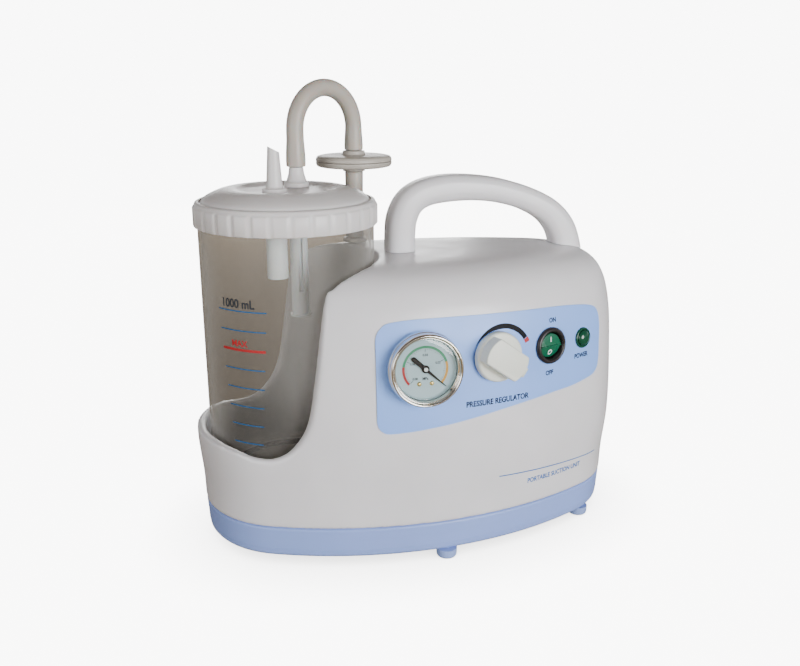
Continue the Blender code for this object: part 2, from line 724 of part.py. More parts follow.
def make_float_valve():
    top = 219.1
    cage = part("float_cage", turned((
        (5.6, top), (5.6, 139.5), (2.6, 139.5), (2.6, 141), (4.6, 141), (4.6, top)),
        16, ring=True), "float_plastic", at=(*VACUUM_NOZZLE, 0))
    cut(cage, helper(block((3, 14, 40), (0, 0, 176)), cage))
    low, high = FLOAT_Z
    float_shape = ((0, high), (2.6, high), (3.9, high - 2), (3.9, low + 1), (3.0, low), (0, low))
    part("float", turned(float_shape, 12), "float_plastic", at=(*VACUUM_NOZZLE, 0))


# ---------------------------------------------------------------- hose and filter
def arch_line():
    """Centre line of the hose that arches from the lid over to the filter."""
    start = Vector((*VACUUM_NOZZLE, HOSE_START_Z))
    end = Vector((*FILTER_PORT, FILTER_Z + 7))
    half = (end - start) / 2
    half.z = 0
    middle = start + half
    spring_z = ARCH_TOP_Z - half.length
    turns = [math.pi * i / 10 for i in range(11)]
    rise = spring_z - start.z
    bend = [middle - half * math.cos(a) + Vector((0, 0, rise + half.length * math.sin(a)))
            for a in turns]
    return [start, start + Vector((0, 0, 10)), *bend, end]


def make_hoses():
    line = arch_line()
    hose = part("hose_arch", tube(line, HOSE_R, 2), "hose_silicone")
    bore = [line[0] - Vector((0, 0, 5)), *line[1:-1], line[-1] - Vector((0, 0, 5))]
    cut(hose, helper(tube(bore, HOSE_BORE_R + GAP, 1)))
    x, y = FILTER_PORT
    part("hose_lower", turned((
        (HOSE_R, 226), (HOSE_R, 184.6), (HOSE_BORE_R, 184.6), (HOSE_BORE_R, 226)),
        16, ring=True), "hose_silicone", at=(x, y, 0))


def make_filter():
    """Hydrophobic disc filter: two halves that hold a membrane."""
    half = (
        (3.35, 17.5), (3.35, 6.6), (7.2, 6.6), (7.4, 3.4), (24, 3.4), (FILTER_R, 2.6),
        (FILTER_R, 0.15), (21, 0.15), (21, 1.6), (2, 1.9), (2, 17.5),
    )
    x, y = FILTER_PORT
    part("filter_upper_half", turned(half, 22, ring=True), "filter_plastic", at=(x, y, FILTER_Z))
    part("filter_lower_half", turned(half, 22, ring=True), "filter_plastic",
         at=(x, y, FILTER_Z), turn=(180, 0, 0))
    membrane = ((0, 0.4), (20.4, 0.4), (20.4, -0.4), (0, -0.4))
    part("filter_membrane", turned(membrane, 20), "membrane", at=(x, y, FILTER_Z))


def make_inlet_port():
    x, y = FILTER_PORT
    part("vacuum_inlet_port", turned((
        (3.35, 198), (3.35, 184.3), (7.6, 183.9), (8, TOP_Z + GAP), (4.2, TOP_Z + GAP),
        (4.2, 172), (2.6, 163), (1.7, 163), (1.7, 198)), 14, ring=True), "filter_plastic",
        at=(x, y, 0))


# ---------------------------------------------------------------- pump and motor
def make_motor():
    along_x = (0, 90, 0)
    start, end = MOTOR_X
    part("motor_can", turned((
        (4.6, end), (MOTOR_R, end), (MOTOR_R, start), (4.6, start), (4.6, start + 3),
        (MOTOR_R - 3, start + 3), (MOTOR_R - 3, end - 3), (4.6, end - 3)), 20, ring=True),
        "zinc_plate", shaft_axis, turn=along_x)
    part("motor_rotor", turned((
        (0, end + 8), (4, end + 8), (4, end - 8), (24, end - 8), (24, start + 10),
        (4, start + 10), (4, 17.6), (0, 17.6)), 12), "steel", shaft_axis, turn=along_x)
    fan = part("cooling_fan", turned((
        (9, end + 7), (9, end + 4), (26, end + 4), (26, end + 2.6), (4.3, end + 2.6),
        (4.4, end + 7)), 16, ring=True), "switch_black", shaft_axis, turn=along_x)
    for i in range(5):
        join(fan, helper(block((1.2, 15, 5), (0, 17, end + 6)), fan, turn=(0, 0, 72 * i)))
    crank = part("crank", turned((
        (0, 17.3), (9, 17.3), (9, 14.2), (0, 14.2)), 16), "steel", shaft_axis, turn=along_x)
    join(crank, helper(rod(CRANK_PIN_R, 6, 15, (0, CRANK_THROW), 12), crank))


def make_pump():
    x = CYLINDER_X
    z = SHAFT_Z
    case = part("crankcase", block((32, 46, 50), (x + 3, 0, z + 1)), "aluminium")
    cut(
        case,
        helper(block((32, 38, 44), (x - 0.5, 0, z + 1))),
        helper(rod(4.6, 10, 60, sides=12), shaft_axis, turn=(0, 90, 0)),
        helper(rod(17.2, z + 10, z + 60, (x, 0), 24)),
    )
    join(case, helper(block((32, 30, 11.6), (x + 3, 0, 28.2))))
    part("pump_cylinder", turned((
        (22, z + 54), (22, z + 26.3), (17, z + 26.3), (17, z + 54)), 24, ring=True),
        "aluminium", at=(x, 0, 0))
    head = part("pump_head", rod(24, z + 54.3, z + 68, (x, 0), 24), "aluminium")
    cut(head, helper(rod(14, z + 50, z + 64, (x, 0), 16)))
    for side in (-1, 1):
        stub = turned(((3.2, z + 82), (3.2, z + 66), (1.7, z + 66), (1.7, z + 82)), 10, ring=True)
        hole = helper(rod(2.2, z + 60, z + 90, (x + 9 * side, 0), 10))
        cut(head, hole)
        join(head, helper(stub, at=(x + 9 * side, 0, 0)))
    piston = part("piston_rod", rod(16.5, z + 36, z + 43, (x, 0), 24), "aluminium")
    join(piston, helper(block((6, 8, 28), (x, 0, z + 24.5))),
         helper(rod(13, -3, 3, sides=20), at=(x, 0, z), turn=(0, 90, 0)))
    cut(piston, helper(rod(10, -9, 9, sides=20), at=(x, 0, z), turn=(0, 90, 0)))


def make_mounting():
    plate_z = 20.0
    bracket = part("pump_bracket", block((116, 68, 2.2), (48, 0, plate_z + 1.1)), "zinc_plate")
    cradle = helper(block((44, 44, 12), (67, 0, plate_z + 7)))
    cut(cradle, helper(rod(MOTOR_R + GAP, 0, 120, sides=48), shaft_axis, turn=(0, 90, 0)))
    join(bracket, cradle)
    places = {"front_left": (-2, -26), "front_right": (98, -26), "rear_left": (-2, 26),
              "rear_right": (98, 26)}
    for name, (x, y) in places.items():
        mount = ((0, 19.7), (7, 19.7), (5.8, 16), (5.8, 12.6), (7, 9.3), (0, 9.3))
        part(f"rubber_mount_{name}", turned(mount, 10), "black_rubber", at=(x, y, 0))
    part("exhaust_muffler", turned((
        (3, 34), (3, 22), (9, 20), (9, -20), (3, -22), (3, -28), (1.6, -28), (1.6, -21),
        (7.4, -19), (7.4, 19), (1.6, 21), (1.6, 34)), 12, ring=True), "inlet_black",
        at=(-45, 0, 19.5), turn=(90, 0, 0))


def make_inner_hoses():
    """The tube from the inlet port towards the regulator."""
    x, y = FILTER_PORT
    supply = smooth_line(((x, y, 162.0), (x, y, 156), (x + 8, 34, 150), (8, 8, 148),
                          (26, -16, 146), (33, -30, 143)), 2)
    part("vacuum_tube", tube(supply, 3.4, 1), "hose_silicone")


# ---------------------------------------------------------------- mains inlet
def make_mains_inlet():
    body = part("mains_inlet", block((27, 27.6, 20), (0, 0, -9)), "inlet_black", inlet_frame)
    join(body, helper(block((31, 31.6, 2.6), (0, 0, 1.6), 0.6), inlet_frame))
    cut(body, helper(block((22.4, 14.6, 20), (0, 5.2, -6)), inlet_frame))
    for x, y in ((-7, 3.4), (7, 3.4), (0, 7.4)):
        join(body, helper(block((2, 4, 12), (x, y, -11)), inlet_frame))
    cut(body, helper(block((20.6, 5.8, 16), (0, -8.6, -3.4)), inlet_frame))
    drawer = part("fuse_drawer", block((20, 5.2, 14.6), (0, -8.6, -3.4)), "inlet_black",
                  inlet_frame)
    cut(drawer, helper(block((16, 7, 8), (0, -8.6, -5.5)), inlet_frame))
    join(drawer, helper(block((8, 1.6, 1.6), (0, -8.6, 4.4)), inlet_frame))


make_upper_shell()
make_base_tray()
make_feet()
make_base_screws()
make_carry_handle()
make_control_panel_label()
make_gauge()
make_regulator()
make_switch()
make_lamp()
make_jar()
make_lid()
make_hoses()
make_filter()
make_inlet_port()
make_motor()
make_pump()
make_mounting()
make_inner_hoses()
make_mains_inlet()
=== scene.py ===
"""The looks of a portable suction pump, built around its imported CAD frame.

Lengths are in millimetres, measured from the middle of the oval housing on the floor:
+X points away from the jar, -Y is the front, +Z is up. TO_WORLD turns them into the
frame's metres.
"""

import json
import math

import bmesh
import bpy
import numpy as np
from mathutils import Matrix, Vector


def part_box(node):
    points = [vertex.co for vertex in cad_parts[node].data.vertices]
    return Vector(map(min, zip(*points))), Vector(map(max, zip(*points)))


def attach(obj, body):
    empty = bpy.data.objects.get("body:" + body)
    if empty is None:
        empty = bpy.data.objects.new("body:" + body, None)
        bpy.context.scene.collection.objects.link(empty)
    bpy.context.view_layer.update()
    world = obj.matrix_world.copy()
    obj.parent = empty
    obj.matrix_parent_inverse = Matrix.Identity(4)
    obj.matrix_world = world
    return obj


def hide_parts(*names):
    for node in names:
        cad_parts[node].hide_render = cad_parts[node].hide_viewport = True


MM = 0.001
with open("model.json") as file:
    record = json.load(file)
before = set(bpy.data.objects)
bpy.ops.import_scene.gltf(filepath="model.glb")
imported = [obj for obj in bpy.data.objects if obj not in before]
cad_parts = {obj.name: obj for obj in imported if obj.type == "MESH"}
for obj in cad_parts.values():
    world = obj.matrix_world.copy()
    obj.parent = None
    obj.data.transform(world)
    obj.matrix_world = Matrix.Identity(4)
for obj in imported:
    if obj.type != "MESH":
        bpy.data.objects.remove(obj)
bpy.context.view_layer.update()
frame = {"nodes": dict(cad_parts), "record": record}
RECORD = frame["record"]
BODY_OF = {node: body for body, nodes in RECORD["behaviour"]["bodies"].items() for node in nodes}
SLOT_OF = {row["node"]: row["material_slot"] for row in RECORD["subparts"]}


def middle_of(node):
    low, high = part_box(node)
    return (low + high) / 2 / MM


HOUSING_Y = middle_of("collection_jar").y
TO_WORLD = Matrix.Translation((0, HOUSING_Y * MM, 0)) @ Matrix.Scale(MM, 4)

# ---- plan and sides of the housing ----
END_X = -middle_of("collection_jar").x
END_R = 61.35
FLANK_Y = 173.7
FLANK_R = math.hypot(END_X, FLANK_Y) + END_R
MEET_ANGLE = math.atan2(FLANK_Y, END_X)
MEET_X = END_X + END_R * math.cos(MEET_ANGLE)
SEAM_Z = 26.4
TOP_Z = 181.0
WELL_FLOOR_Z = 38.0
WALL = 3.0
GAP = 0.3
SHELL_SIDE = (
    (SEAM_Z, 2.7), (44, 2.2), (58, 0.9), (70, 0.0), (90, 0.1), (118, 1.5), (140, 3.2),
    (156, 6.2), (165, 9.6), (171, 13.6), (176, 20), (179, 28), (180.5, 38), (TOP_Z, 50),
)
CAVITY_SIDE = (
    (SEAM_Z - 8, 2.7), (44, 2.2), (70, 0.2), (116, 1.4), (149, 4.6), (165, 9.6),
    (174, 16.8), (179, 28), (TOP_Z, 50),
)
BASE_SIDE = ((6.0, 9.0), (6.15, 7.2), (6.9, 5.5), (8.6, 4.3), (12, 3.8), (18, 3.5),
             (24.8, 3.0), (25.7, 3.2), (26.1, 3.8))
WELL_R = 56.0
CUP_WALL = 3.5
SADDLE = (
    (-150, 77), (-127, 75.5), (-112, 72.6), (-100, 72.8), (-90.5, 77.5), (-83.5, 86),
    (-78.8, 98), (-75.2, 118), (-71.3, 146), (-68.6, 165), (-65, 186), (-62, 210),
)

# ---- controls (x, z), jar, lid ----
GAUGE = (-14.4, 127.6)
KNOB = (30.5, 130.3)
SWITCH = (68.6, 131.0)
LAMP = (94.6, 131.2)
INLET = (12.0, 58.0)
FILTER_PORT = (-27.0, 39.5)
LABEL_FACE = 0.75
JAR_R = 53.3
JAR_WALL = 1.8
JAR_Z = (41.0, 210.7)
PATIENT_NOZZLE = (-87.0, -13.0)
VACUUM_NOZZLE = (-69.5, 14.0)
JAR_AT = (-END_X, 0, 0)
LID_DECK_Z = 221.8
TUBE_TOP_Z = 219.1  # where the tubes inside the jar meet the lid
FLANGE_Z = LID_DECK_Z + GAP
HOSE_START_Z = 234.3
HOSE_R = 6.0
HOSE_BORE_R = 4.0
ARCH_TOP_Z = 281.0
FILTER_Z = 234.5
FILTER_R = 25.0
RIBS = 60  # round the filter's rim


# ---- lines
def bent(points, radius, closed=False, steps=4):
    """The line with each corner rounded. A point may carry its own radius as a third value."""
    count = len(points)
    line = []
    for i, point in enumerate(points):
        here = Vector(point[:2])
        own = point[2] if len(point) > 2 else radius
        if own == 0 or (not closed and i in (0, count - 1)):
            line.append(tuple(here))
            continue
        before = Vector(points[i - 1][:2]) - here
        after = Vector(points[(i + 1) % count][:2]) - here
        start = here + before.normalized() * min(own, before.length * 0.48)
        end = here + after.normalized() * min(own, after.length * 0.48)
        for k in range(steps + 1):
            t = k / steps
            line.append(tuple(start * (1 - t) ** 2 + here * 2 * t * (1 - t) + end * t * t))
    return line


def smooth_line(points, steps):
    """A Catmull-Rom line through the points."""
    padded = [points[0], *points, points[-1]]
    line = []
    for i in range(len(points) - 1):
        a, b, c, d = (Vector(p) for p in padded[i:i + 4])
        for k in range(steps):
            t = k / steps
            line.append(tuple(0.5 * (
                2 * b + (c - a) * t + (2 * a - 5 * b + 4 * c - d) * t * t
                + (3 * b - a - 3 * c + d) * t * t * t
            )))
    return [*line, tuple(points[-1])]


def offset_line(points, distance):
    """The line moved to the right of its own direction."""
    moved = []
    for i, point in enumerate(points):
        ahead = Vector(points[min(i + 1, len(points) - 1)])
        behind = Vector(points[max(i - 1, 0)])
        along = (ahead - behind).normalized()
        moved.append((point[0] + along[1] * distance, point[1] - along[0] * distance))
    return moved


def arc(centre, radius, start, end, steps):
    turns = [start + (end - start) * i / steps for i in range(steps)]
    return [(centre[0] + radius * math.cos(a), centre[1] + radius * math.sin(a)) for a in turns]


def circle(radius, steps=64, centre=(0, 0)):
    return arc(centre, radius, 0, 2 * math.pi, steps)


def oval(inset, steps=48):
    """The plan of the housing, this far inside its widest outline."""
    meet, half = MEET_ANGLE, math.pi
    ends, flanks = END_R - inset, FLANK_R - inset
    return (
        arc((END_X, 0), ends, -meet, meet, steps)
        + arc((0, -FLANK_Y), flanks, meet, half - meet, steps)
        + arc((-END_X, 0), ends, half - meet, half + meet, steps)
        + arc((0, FLANK_Y), flanks, half + meet, 2 * half - meet, steps)
    )


def rounded_box(width, depth, corner, per_corner=8):
    """The outline of a rounded rectangle about the origin."""
    points = []
    for sx, sy, start in ((1, 1, 0), (-1, 1, 90), (-1, -1, 180), (1, -1, 270)):
        for i in range(per_corner + 1):
            angle = math.radians(start + 90 * i / per_corner)
            points.append((sx * (width / 2 - corner) + corner * math.cos(angle),
                           sy * (depth / 2 - corner) + corner * math.sin(angle)))
    return points


# ---- solids
def loft(rings, closed=False):
    """A solid through rings of equal point counts, capped unless it closes on itself."""
    bm = bmesh.new()
    loops = [[bm.verts.new(point) for point in ring] for ring in rings]
    pairs = list(zip(loops, loops[1:]))
    if closed:
        pairs.append((loops[-1], loops[0]))
    for low, high in pairs:
        for i in range(len(low)):
            j = (i + 1) % len(low)
            bm.faces.new((low[i], low[j], high[j], high[i]))
    if not closed:
        bm.faces.new(reversed(loops[0]))
        bm.faces.new(loops[-1])
    return bm


def turned(profile, steps=96, ring=False):
    """A profile of (radius, height) points turned about Z."""
    bm = bmesh.new()
    rows = []
    for radius, z in profile:
        if radius < 1e-6:
            rows.append([bm.verts.new((0, 0, z))])
        else:
            rows.append([bm.verts.new((x, y, z)) for x, y in circle(radius, steps)])
    pairs = list(zip(rows, rows[1:]))
    if ring:
        pairs.append((rows[-1], rows[0]))
    for low, high in pairs:
        if len(low) == len(high) == 1:
            continue
        for i in range(steps):
            j = (i + 1) % steps
            corners = [low[i % len(low)], low[j % len(low)],
                       high[j % len(high)], high[i % len(high)]]
            bm.faces.new(list(dict.fromkeys(corners)))
    return bm


def tube(section, ease, sides, at=(0, 0, 0), steps=4):
    """A closed section of (radius, height) points with eased corners, turned about Z."""
    return moved(turned(bent(section, ease, closed=True, steps=steps), sides, ring=True), at=at)


def prism(outline, z0, z1):
    return loft([[(x, y, z) for x, y in outline] for z in (z0, z1)])


def rod(radius, z0, z1, at=(0, 0), sides=48):
    return prism(circle(radius, sides, at), z0, z1)


def block(size, at=(0, 0, 0)):
    bm = bmesh.new()
    bmesh.ops.create_cube(bm, size=1)
    bmesh.ops.scale(bm, vec=Vector(size), verts=bm.verts)
    bmesh.ops.translate(bm, vec=Vector(at), verts=bm.verts)
    return bm


def housing(side, outset=0.0):
    """A solid with the oval plan and this side profile, grown or shrunk along its normals."""
    line = offset_line([(z, -inset) for z, inset in side], -outset)
    return loft([[(x, y, z) for x, y in oval(-out)] for z, out in line])


def swept(points, radii, bore=0.0, sides=40):
    """A round bar along a line of points, or a tube where it has a bore."""
    line = [Vector(p) for p in points]
    along = [(line[min(i + 1, len(line) - 1)] - line[max(i - 1, 0)]).normalized()
             for i in range(len(line))]
    across = along[0].orthogonal().normalized()
    outer, inner = [], []
    for point, direction, radius in zip(line, along, radii):
        across = (across - direction * across.dot(direction)).normalized()
        other = direction.cross(across)
        spokes = [across * math.cos(a) + other * math.sin(a)
                  for a in (2 * math.pi * k / sides for k in range(sides))]
        outer.append([point + spoke * radius for spoke in spokes])
        inner.append([point + spoke * bore for spoke in spokes])
    return loft(outer + inner[::-1], closed=True) if bore else loft(outer)


def moved(bm, matrix=None, at=(0, 0, 0), turn=(0, 0, 0)):
    """The mesh turned by these degrees about X, Y and Z, then moved."""
    for angle, axis in zip(turn, "XYZ"):
        bm.transform(Matrix.Rotation(math.radians(angle), 4, axis))
    bm.transform(Matrix.Translation(Vector(at)))
    if matrix:
        bm.transform(matrix)
    return bm


# ---- modelling with modifiers
def mesh_of(name, bm):
    mesh = bpy.data.meshes.new(name)
    bm.to_mesh(mesh)
    bm.free()
    return mesh


def linked(name, data):
    obj = bpy.data.objects.new(name, data)
    bpy.context.scene.collection.objects.link(obj)
    return obj


def helper(bm):
    bmesh.ops.recalc_face_normals(bm, faces=bm.faces)
    return linked("helper", mesh_of("helper", bm))


def applied(obj, others=()):
    """The mesh of a helper with its modifiers applied. The helpers are then removed."""
    graph = bpy.context.evaluated_depsgraph_get()
    mesh = bpy.data.meshes.new_from_object(obj.evaluated_get(graph))
    for each in (obj, *others):
        bpy.data.objects.remove(each)
    bm = bmesh.new()
    bm.from_mesh(mesh)
    bpy.data.meshes.remove(mesh)
    return bm


def combined(bm, operation, *others, solver="MANIFOLD"):
    target = helper(bm)
    tools = [helper(other) for other in others]
    for tool in tools:
        boolean = target.modifiers.new("boolean", "BOOLEAN")
        boolean.operation = operation
        boolean.object = tool
        boolean.solver = solver
    return applied(target, tools)


def cut(bm, *others, solver="MANIFOLD"):
    return combined(bm, "DIFFERENCE", *others, solver=solver)


def join(bm, *others, solver="MANIFOLD"):
    return combined(bm, "UNION", *others, solver=solver)


def eased(bm, width, segments=3, angle=35):
    """The mesh with its sharp edges rounded."""
    obj = helper(bm)
    bevel = obj.modifiers.new("edges", "BEVEL")
    bevel.width = width
    bevel.segments = segments
    bevel.limit_method = "ANGLE"
    bevel.angle_limit = math.radians(angle)
    return applied(obj)


def piece(name, bm, material, node, stands=True, smooth_angle=38):
    """Turns a mesh in millimetres into a piece with a named finish that rides with a CAD
    node's body and, unless it is only a detail on that node, stands for the node."""
    bmesh.ops.recalc_face_normals(bm, faces=bm.faces)
    bm.transform(TO_WORLD)
    mesh = mesh_of(name, bm)
    mesh.materials.append(FINISH[material])
    mesh.shade_smooth()
    mesh.set_sharp_from_angle(angle=math.radians(smooth_angle))
    obj = linked(name, mesh)
    if stands:
        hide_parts(node)
    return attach(obj, BODY_OF[node])


# ---- places on the walls
SIDE_LINE = smooth_line(SHELL_SIDE, 5)


def side_inset(z, side=SHELL_SIDE):
    """Inset of the shell's side at a height, and how fast it grows."""
    for (z0, inset0), (z1, inset1) in zip(side, side[1:]):
        if z <= z1:
            slope = (inset1 - inset0) / (z1 - z0)
            return inset0 + slope * (z - z0), slope
    return side[-1][1], 0.0


def wall_point(x, z, out):
    """A point this far out of the front wall."""
    inset = side_inset(z, SIDE_LINE)[0]
    if abs(x) < MEET_X:
        radius = FLANK_R - inset + out
        return Vector((x, FLANK_Y - math.sqrt(radius * radius - x * x), z))
    radius = END_R - inset + out
    reach = min(abs(x) - END_X, radius)
    return Vector((x, -math.sqrt(radius * radius - reach * reach), z))


def wall_frame(x, z, face=-1):
    """A frame on the flank with +Z out of the wall, +X to the right and +Y up."""
    inset, slope = side_inset(z)
    radius = FLANK_R - inset
    out = Vector((x, face * math.sqrt(radius * radius - x * x), 0)).normalized()
    at = Vector((x, radius * out.y - face * FLANK_Y, z))
    normal = (out + Vector((0, 0, slope))).normalized()
    right = Vector((0, 0, 1)).cross(normal).normalized()
    turn = Matrix((right, normal.cross(right), normal)).transposed().to_4x4()
    return Matrix.Translation(at) @ turn


GAUGE_FRAME = wall_frame(*GAUGE)
KNOB_FRAME = wall_frame(*KNOB)
SWITCH_FRAME = wall_frame(*SWITCH)
LAMP_FRAME = wall_frame(*LAMP)
INLET_FRAME = wall_frame(*INLET, face=1)
# (frame, hole radius in the shell, hole radius in the label)
CONTROLS = ((GAUGE_FRAME, 20.6, 21.0), (KNOB_FRAME, 5.4, 6.4), (SWITCH_FRAME, 10.4, 10.8),
            (LAMP_FRAME, 5.0, 5.3))


# heights of a print's back and face above the surface it lies on, and the letters' extra weight
PRINT_BACK = 0.02
PRINT_FACE = 0.08
DIAL_PRINT_FACE = 0.05
LETTER_WEIGHT = 0.028


def on_wall(x0, z0, lift=LABEL_FACE):
    """Where (u, v, out) about a place on the front wall lies."""
    def place(u, v, out):
        x = FLANK_R * math.sin(math.asin(x0 / FLANK_R) + u / FLANK_R)
        return wall_point(x, z0 + v, lift + out)
    return place


def on_frame(matrix, height=0.0):
    def place(u, v, out):
        return matrix @ Vector((u, v, height + out))
    return place


def on_jar(angle, z0):
    """Where (u, v, out) lies about a place on the jar, angle degrees left of its front."""
    def place(u, v, out):
        turn = math.radians(angle) - u / JAR_R
        radius = JAR_R + out
        return Vector((-END_X - radius * math.sin(turn), -radius * math.cos(turn), z0 + v))
    return place


def band(stations, place, face=PRINT_FACE):
    """A thin printed band between pairs of (u, v) points."""
    return loft([
        [place(*near, PRINT_BACK), place(*far, PRINT_BACK), place(*far, face), place(*near, face)]
        for near, far in stations
    ])


def arc_band(inner, outer, start, end, steps=40):
    """Stations of a band about the origin. Inner and outer are radii at the start and end."""
    stations = []
    for i in range(steps + 1):
        t = i / steps
        angle = math.radians(start + (end - start) * t)
        pair = []
        for low, high in (inner, outer):
            radius = low + (high - low) * t
            pair.append((radius * math.cos(angle), radius * math.sin(angle)))
        stations.append(tuple(pair))
    return stations


def line_band(start, end, width, steps=24):
    stations = []
    for i in range(steps + 1):
        u = start[0] + (end[0] - start[0]) * i / steps
        v = start[1] + (end[1] - start[1]) * i / steps
        stations.append(((u, v - width / 2), (u, v + width / 2)))
    return stations


def lettering(words, height, place, squeeze=0.9, face=PRINT_FACE):
    """The words as thin raised letters, centred on a place, with capitals this high."""
    curve = bpy.data.curves.new("words", "FONT")
    curve.body = words
    curve.extrude = 0.01
    curve.offset = LETTER_WEIGHT
    curve.resolution_u = 4
    bm = applied(linked("words", curve))
    bmesh.ops.remove_doubles(bm, verts=bm.verts, dist=1e-5)
    low = [min(v.co[i] for v in bm.verts) for i in range(2)]
    high = [max(v.co[i] for v in bm.verts) for i in range(2)]
    scale = height / (high[1] - low[1])
    for vert in bm.verts:
        u = (vert.co.x - (low[0] + high[0]) / 2) * scale * squeeze
        v = (vert.co.y - (low[1] + high[1]) / 2) * scale
        vert.co = place(u, v, face if vert.co.z > 0 else PRINT_BACK)
    return bm


def merged(*meshes):
    """Several meshes as one."""
    whole = meshes[0]
    for other in meshes[1:]:
        mesh = mesh_of("merged", other)
        whole.from_mesh(mesh)
        bpy.data.meshes.remove(mesh)
    return whole


# ---- materials
class Nodes:
    """Short ways to add and link the nodes of a tree."""

    def __init__(self, tree):
        self.tree = tree

    def node(self, kind, inputs=None, **values):
        made = self.tree.nodes.new(kind)
        for key, value in values.items():
            setattr(made, key, value)
        for key, value in (inputs or {}).items():
            made.inputs[key].default_value = value
        return made

    def link(self, start, end):
        self.tree.links.new(start, end)


class Shader(Nodes):
    """A Principled material whose textures are laid out in the object's own space."""

    def __init__(self, name):
        self.material = bpy.data.materials.new(name)
        self.material.use_nodes = True
        super().__init__(self.material.node_tree)
        self.main = self.tree.nodes["Principled BSDF"]
        self.coords = self.tree.nodes.new("ShaderNodeTexCoord").outputs["Object"]

    def set(self, **values):
        for key, value in values.items():
            self.main.inputs[key.replace("_", " ")].default_value = value

    def noise(self, size, detail=3.0, stretch=(1, 1, 1)):
        """Noise with features about this many millimetres across."""
        mapping = self.node("ShaderNodeMapping", {"Scale": stretch})
        self.link(self.coords, mapping.inputs["Vector"])
        texture = self.node("ShaderNodeTexNoise", {"Scale": 1 / (size * MM), "Detail": detail})
        self.link(mapping.outputs["Vector"], texture.inputs["Vector"])
        return texture.outputs["Fac"]

    def spread(self, value, low, high, start=0.3, end=0.7):
        """The value remapped to a range."""
        remap = self.node("ShaderNodeMapRange", {
            "From Min": start, "From Max": end, "To Min": low, "To Max": high})
        self.link(value, remap.inputs["Value"])
        return remap.outputs["Result"]

    def mixed(self, factor, low, high):
        """Two colours mixed by a factor. Each colour is a value or another node's output."""
        mix = self.node("ShaderNodeMix", data_type="RGBA")
        self.link(factor, mix.inputs["Factor"])
        for socket, colour in ((mix.inputs[6], low), (mix.inputs[7], high)):
            if isinstance(colour, tuple):
                socket.default_value = (*colour, 1)
            else:
                self.link(colour, socket)
        return mix.outputs[2]

    def bumps(self, height, depth, previous=None):
        """A bump this many millimetres deep, on top of a previous one."""
        bump = self.node("ShaderNodeBump", {"Distance": depth * MM})
        self.link(height, bump.inputs["Height"])
        if previous:
            self.link(previous, bump.inputs["Normal"])
        return bump.outputs["Normal"]


def shade(colour, share):
    return tuple(min(1.0, channel * share) for channel in colour)


def finish(name, colour, roughness, metallic=0.0, tint=0.03, grain=0.6, depth=0.012,
           wear=0.0, stretch=(1, 1, 1), smudge=0.05, soft=None, **sockets):
    """A moulded, cast or turned finish: colour drifts a little over the surface, edges
    can be lighter from handling, roughness has smudges, and a fine grain catches light.
    Soft is the weight and scale of the light that enters it."""
    s = Shader(name)
    drift = s.spread(s.noise(35, 2.0), 0, 1)
    base = s.mixed(drift, shade(colour, 1 - tint), shade(colour, 1 + tint))
    if wear:
        edges = s.spread(s.node("ShaderNodeNewGeometry").outputs["Pointiness"], 0, wear, 0.52, 0.62)
        base = s.mixed(edges, base, shade(colour, 1.35))
    s.link(base, s.main.inputs["Base Color"])
    s.link(s.spread(s.noise(14, 4.0), roughness - smudge, roughness + smudge),
           s.main.inputs["Roughness"])
    s.set(Metallic=metallic, **sockets)
    if soft:
        s.set(Subsurface_Weight=soft[0], Subsurface_Scale=soft[1])
    s.link(s.bumps(s.noise(grain, 2.0, stretch), depth), s.main.inputs["Normal"])
    return s.material


RIM_POWER = 4.0  # how closely the mirroring of clear plastic keeps to its rim


def clear_plastic(name, tint, haze, roughness=0.05, haze_share=0.05, metallic=0.0):
    """See-through plastic: it tints what lies behind it, mirrors at a flat angle, and has
    a faint haze with fine rub marks."""
    s = Shader(name)
    s.set(Base_Color=(*haze, 1), IOR=1.5, Metallic=metallic)
    s.link(s.spread(s.noise(9, 4.0), roughness, roughness + 0.06), s.main.inputs["Roughness"])
    s.link(s.bumps(s.noise(30, 1.0), 0.05), s.main.inputs["Normal"])
    through = s.node("ShaderNodeBsdfTransparent")
    streaks = s.spread(s.noise(12, 5.0, (1, 1, 0.12)), 0, 1, 0.25, 0.75)
    s.link(s.mixed(streaks, shade(tint, 0.97), tint), through.inputs["Color"])
    facing = s.node("ShaderNodeLayerWeight")
    steep = s.node("ShaderNodeMath", {1: RIM_POWER}, operation="POWER")
    s.link(facing.outputs["Facing"], steep.inputs[0])
    rim = s.spread(steep.outputs["Value"], 0.035, 0.9, 0, 1)
    rubs = s.spread(s.noise(0.5, 2.0, (1, 1, 0.1)), haze_share * 0.7, haze_share * 1.3)
    add = s.node("ShaderNodeMath", operation="ADD", use_clamp=True)
    s.link(rim, add.inputs[0])
    s.link(rubs, add.inputs[1])
    mix = s.node("ShaderNodeMixShader")
    s.link(add.outputs["Value"], mix.inputs["Fac"])
    s.link(through.outputs["BSDF"], mix.inputs[1])
    s.link(s.main.outputs["BSDF"], mix.inputs[2])
    output = s.tree.nodes["Material Output"]
    s.link(mix.outputs["Shader"], output.inputs["Surface"])
    return s.material


WHITE = (0.74, 0.725, 0.745)
BLUE = (0.27, 0.38, 0.78)
LABEL_BLUE = (0.255, 0.45, 0.98)

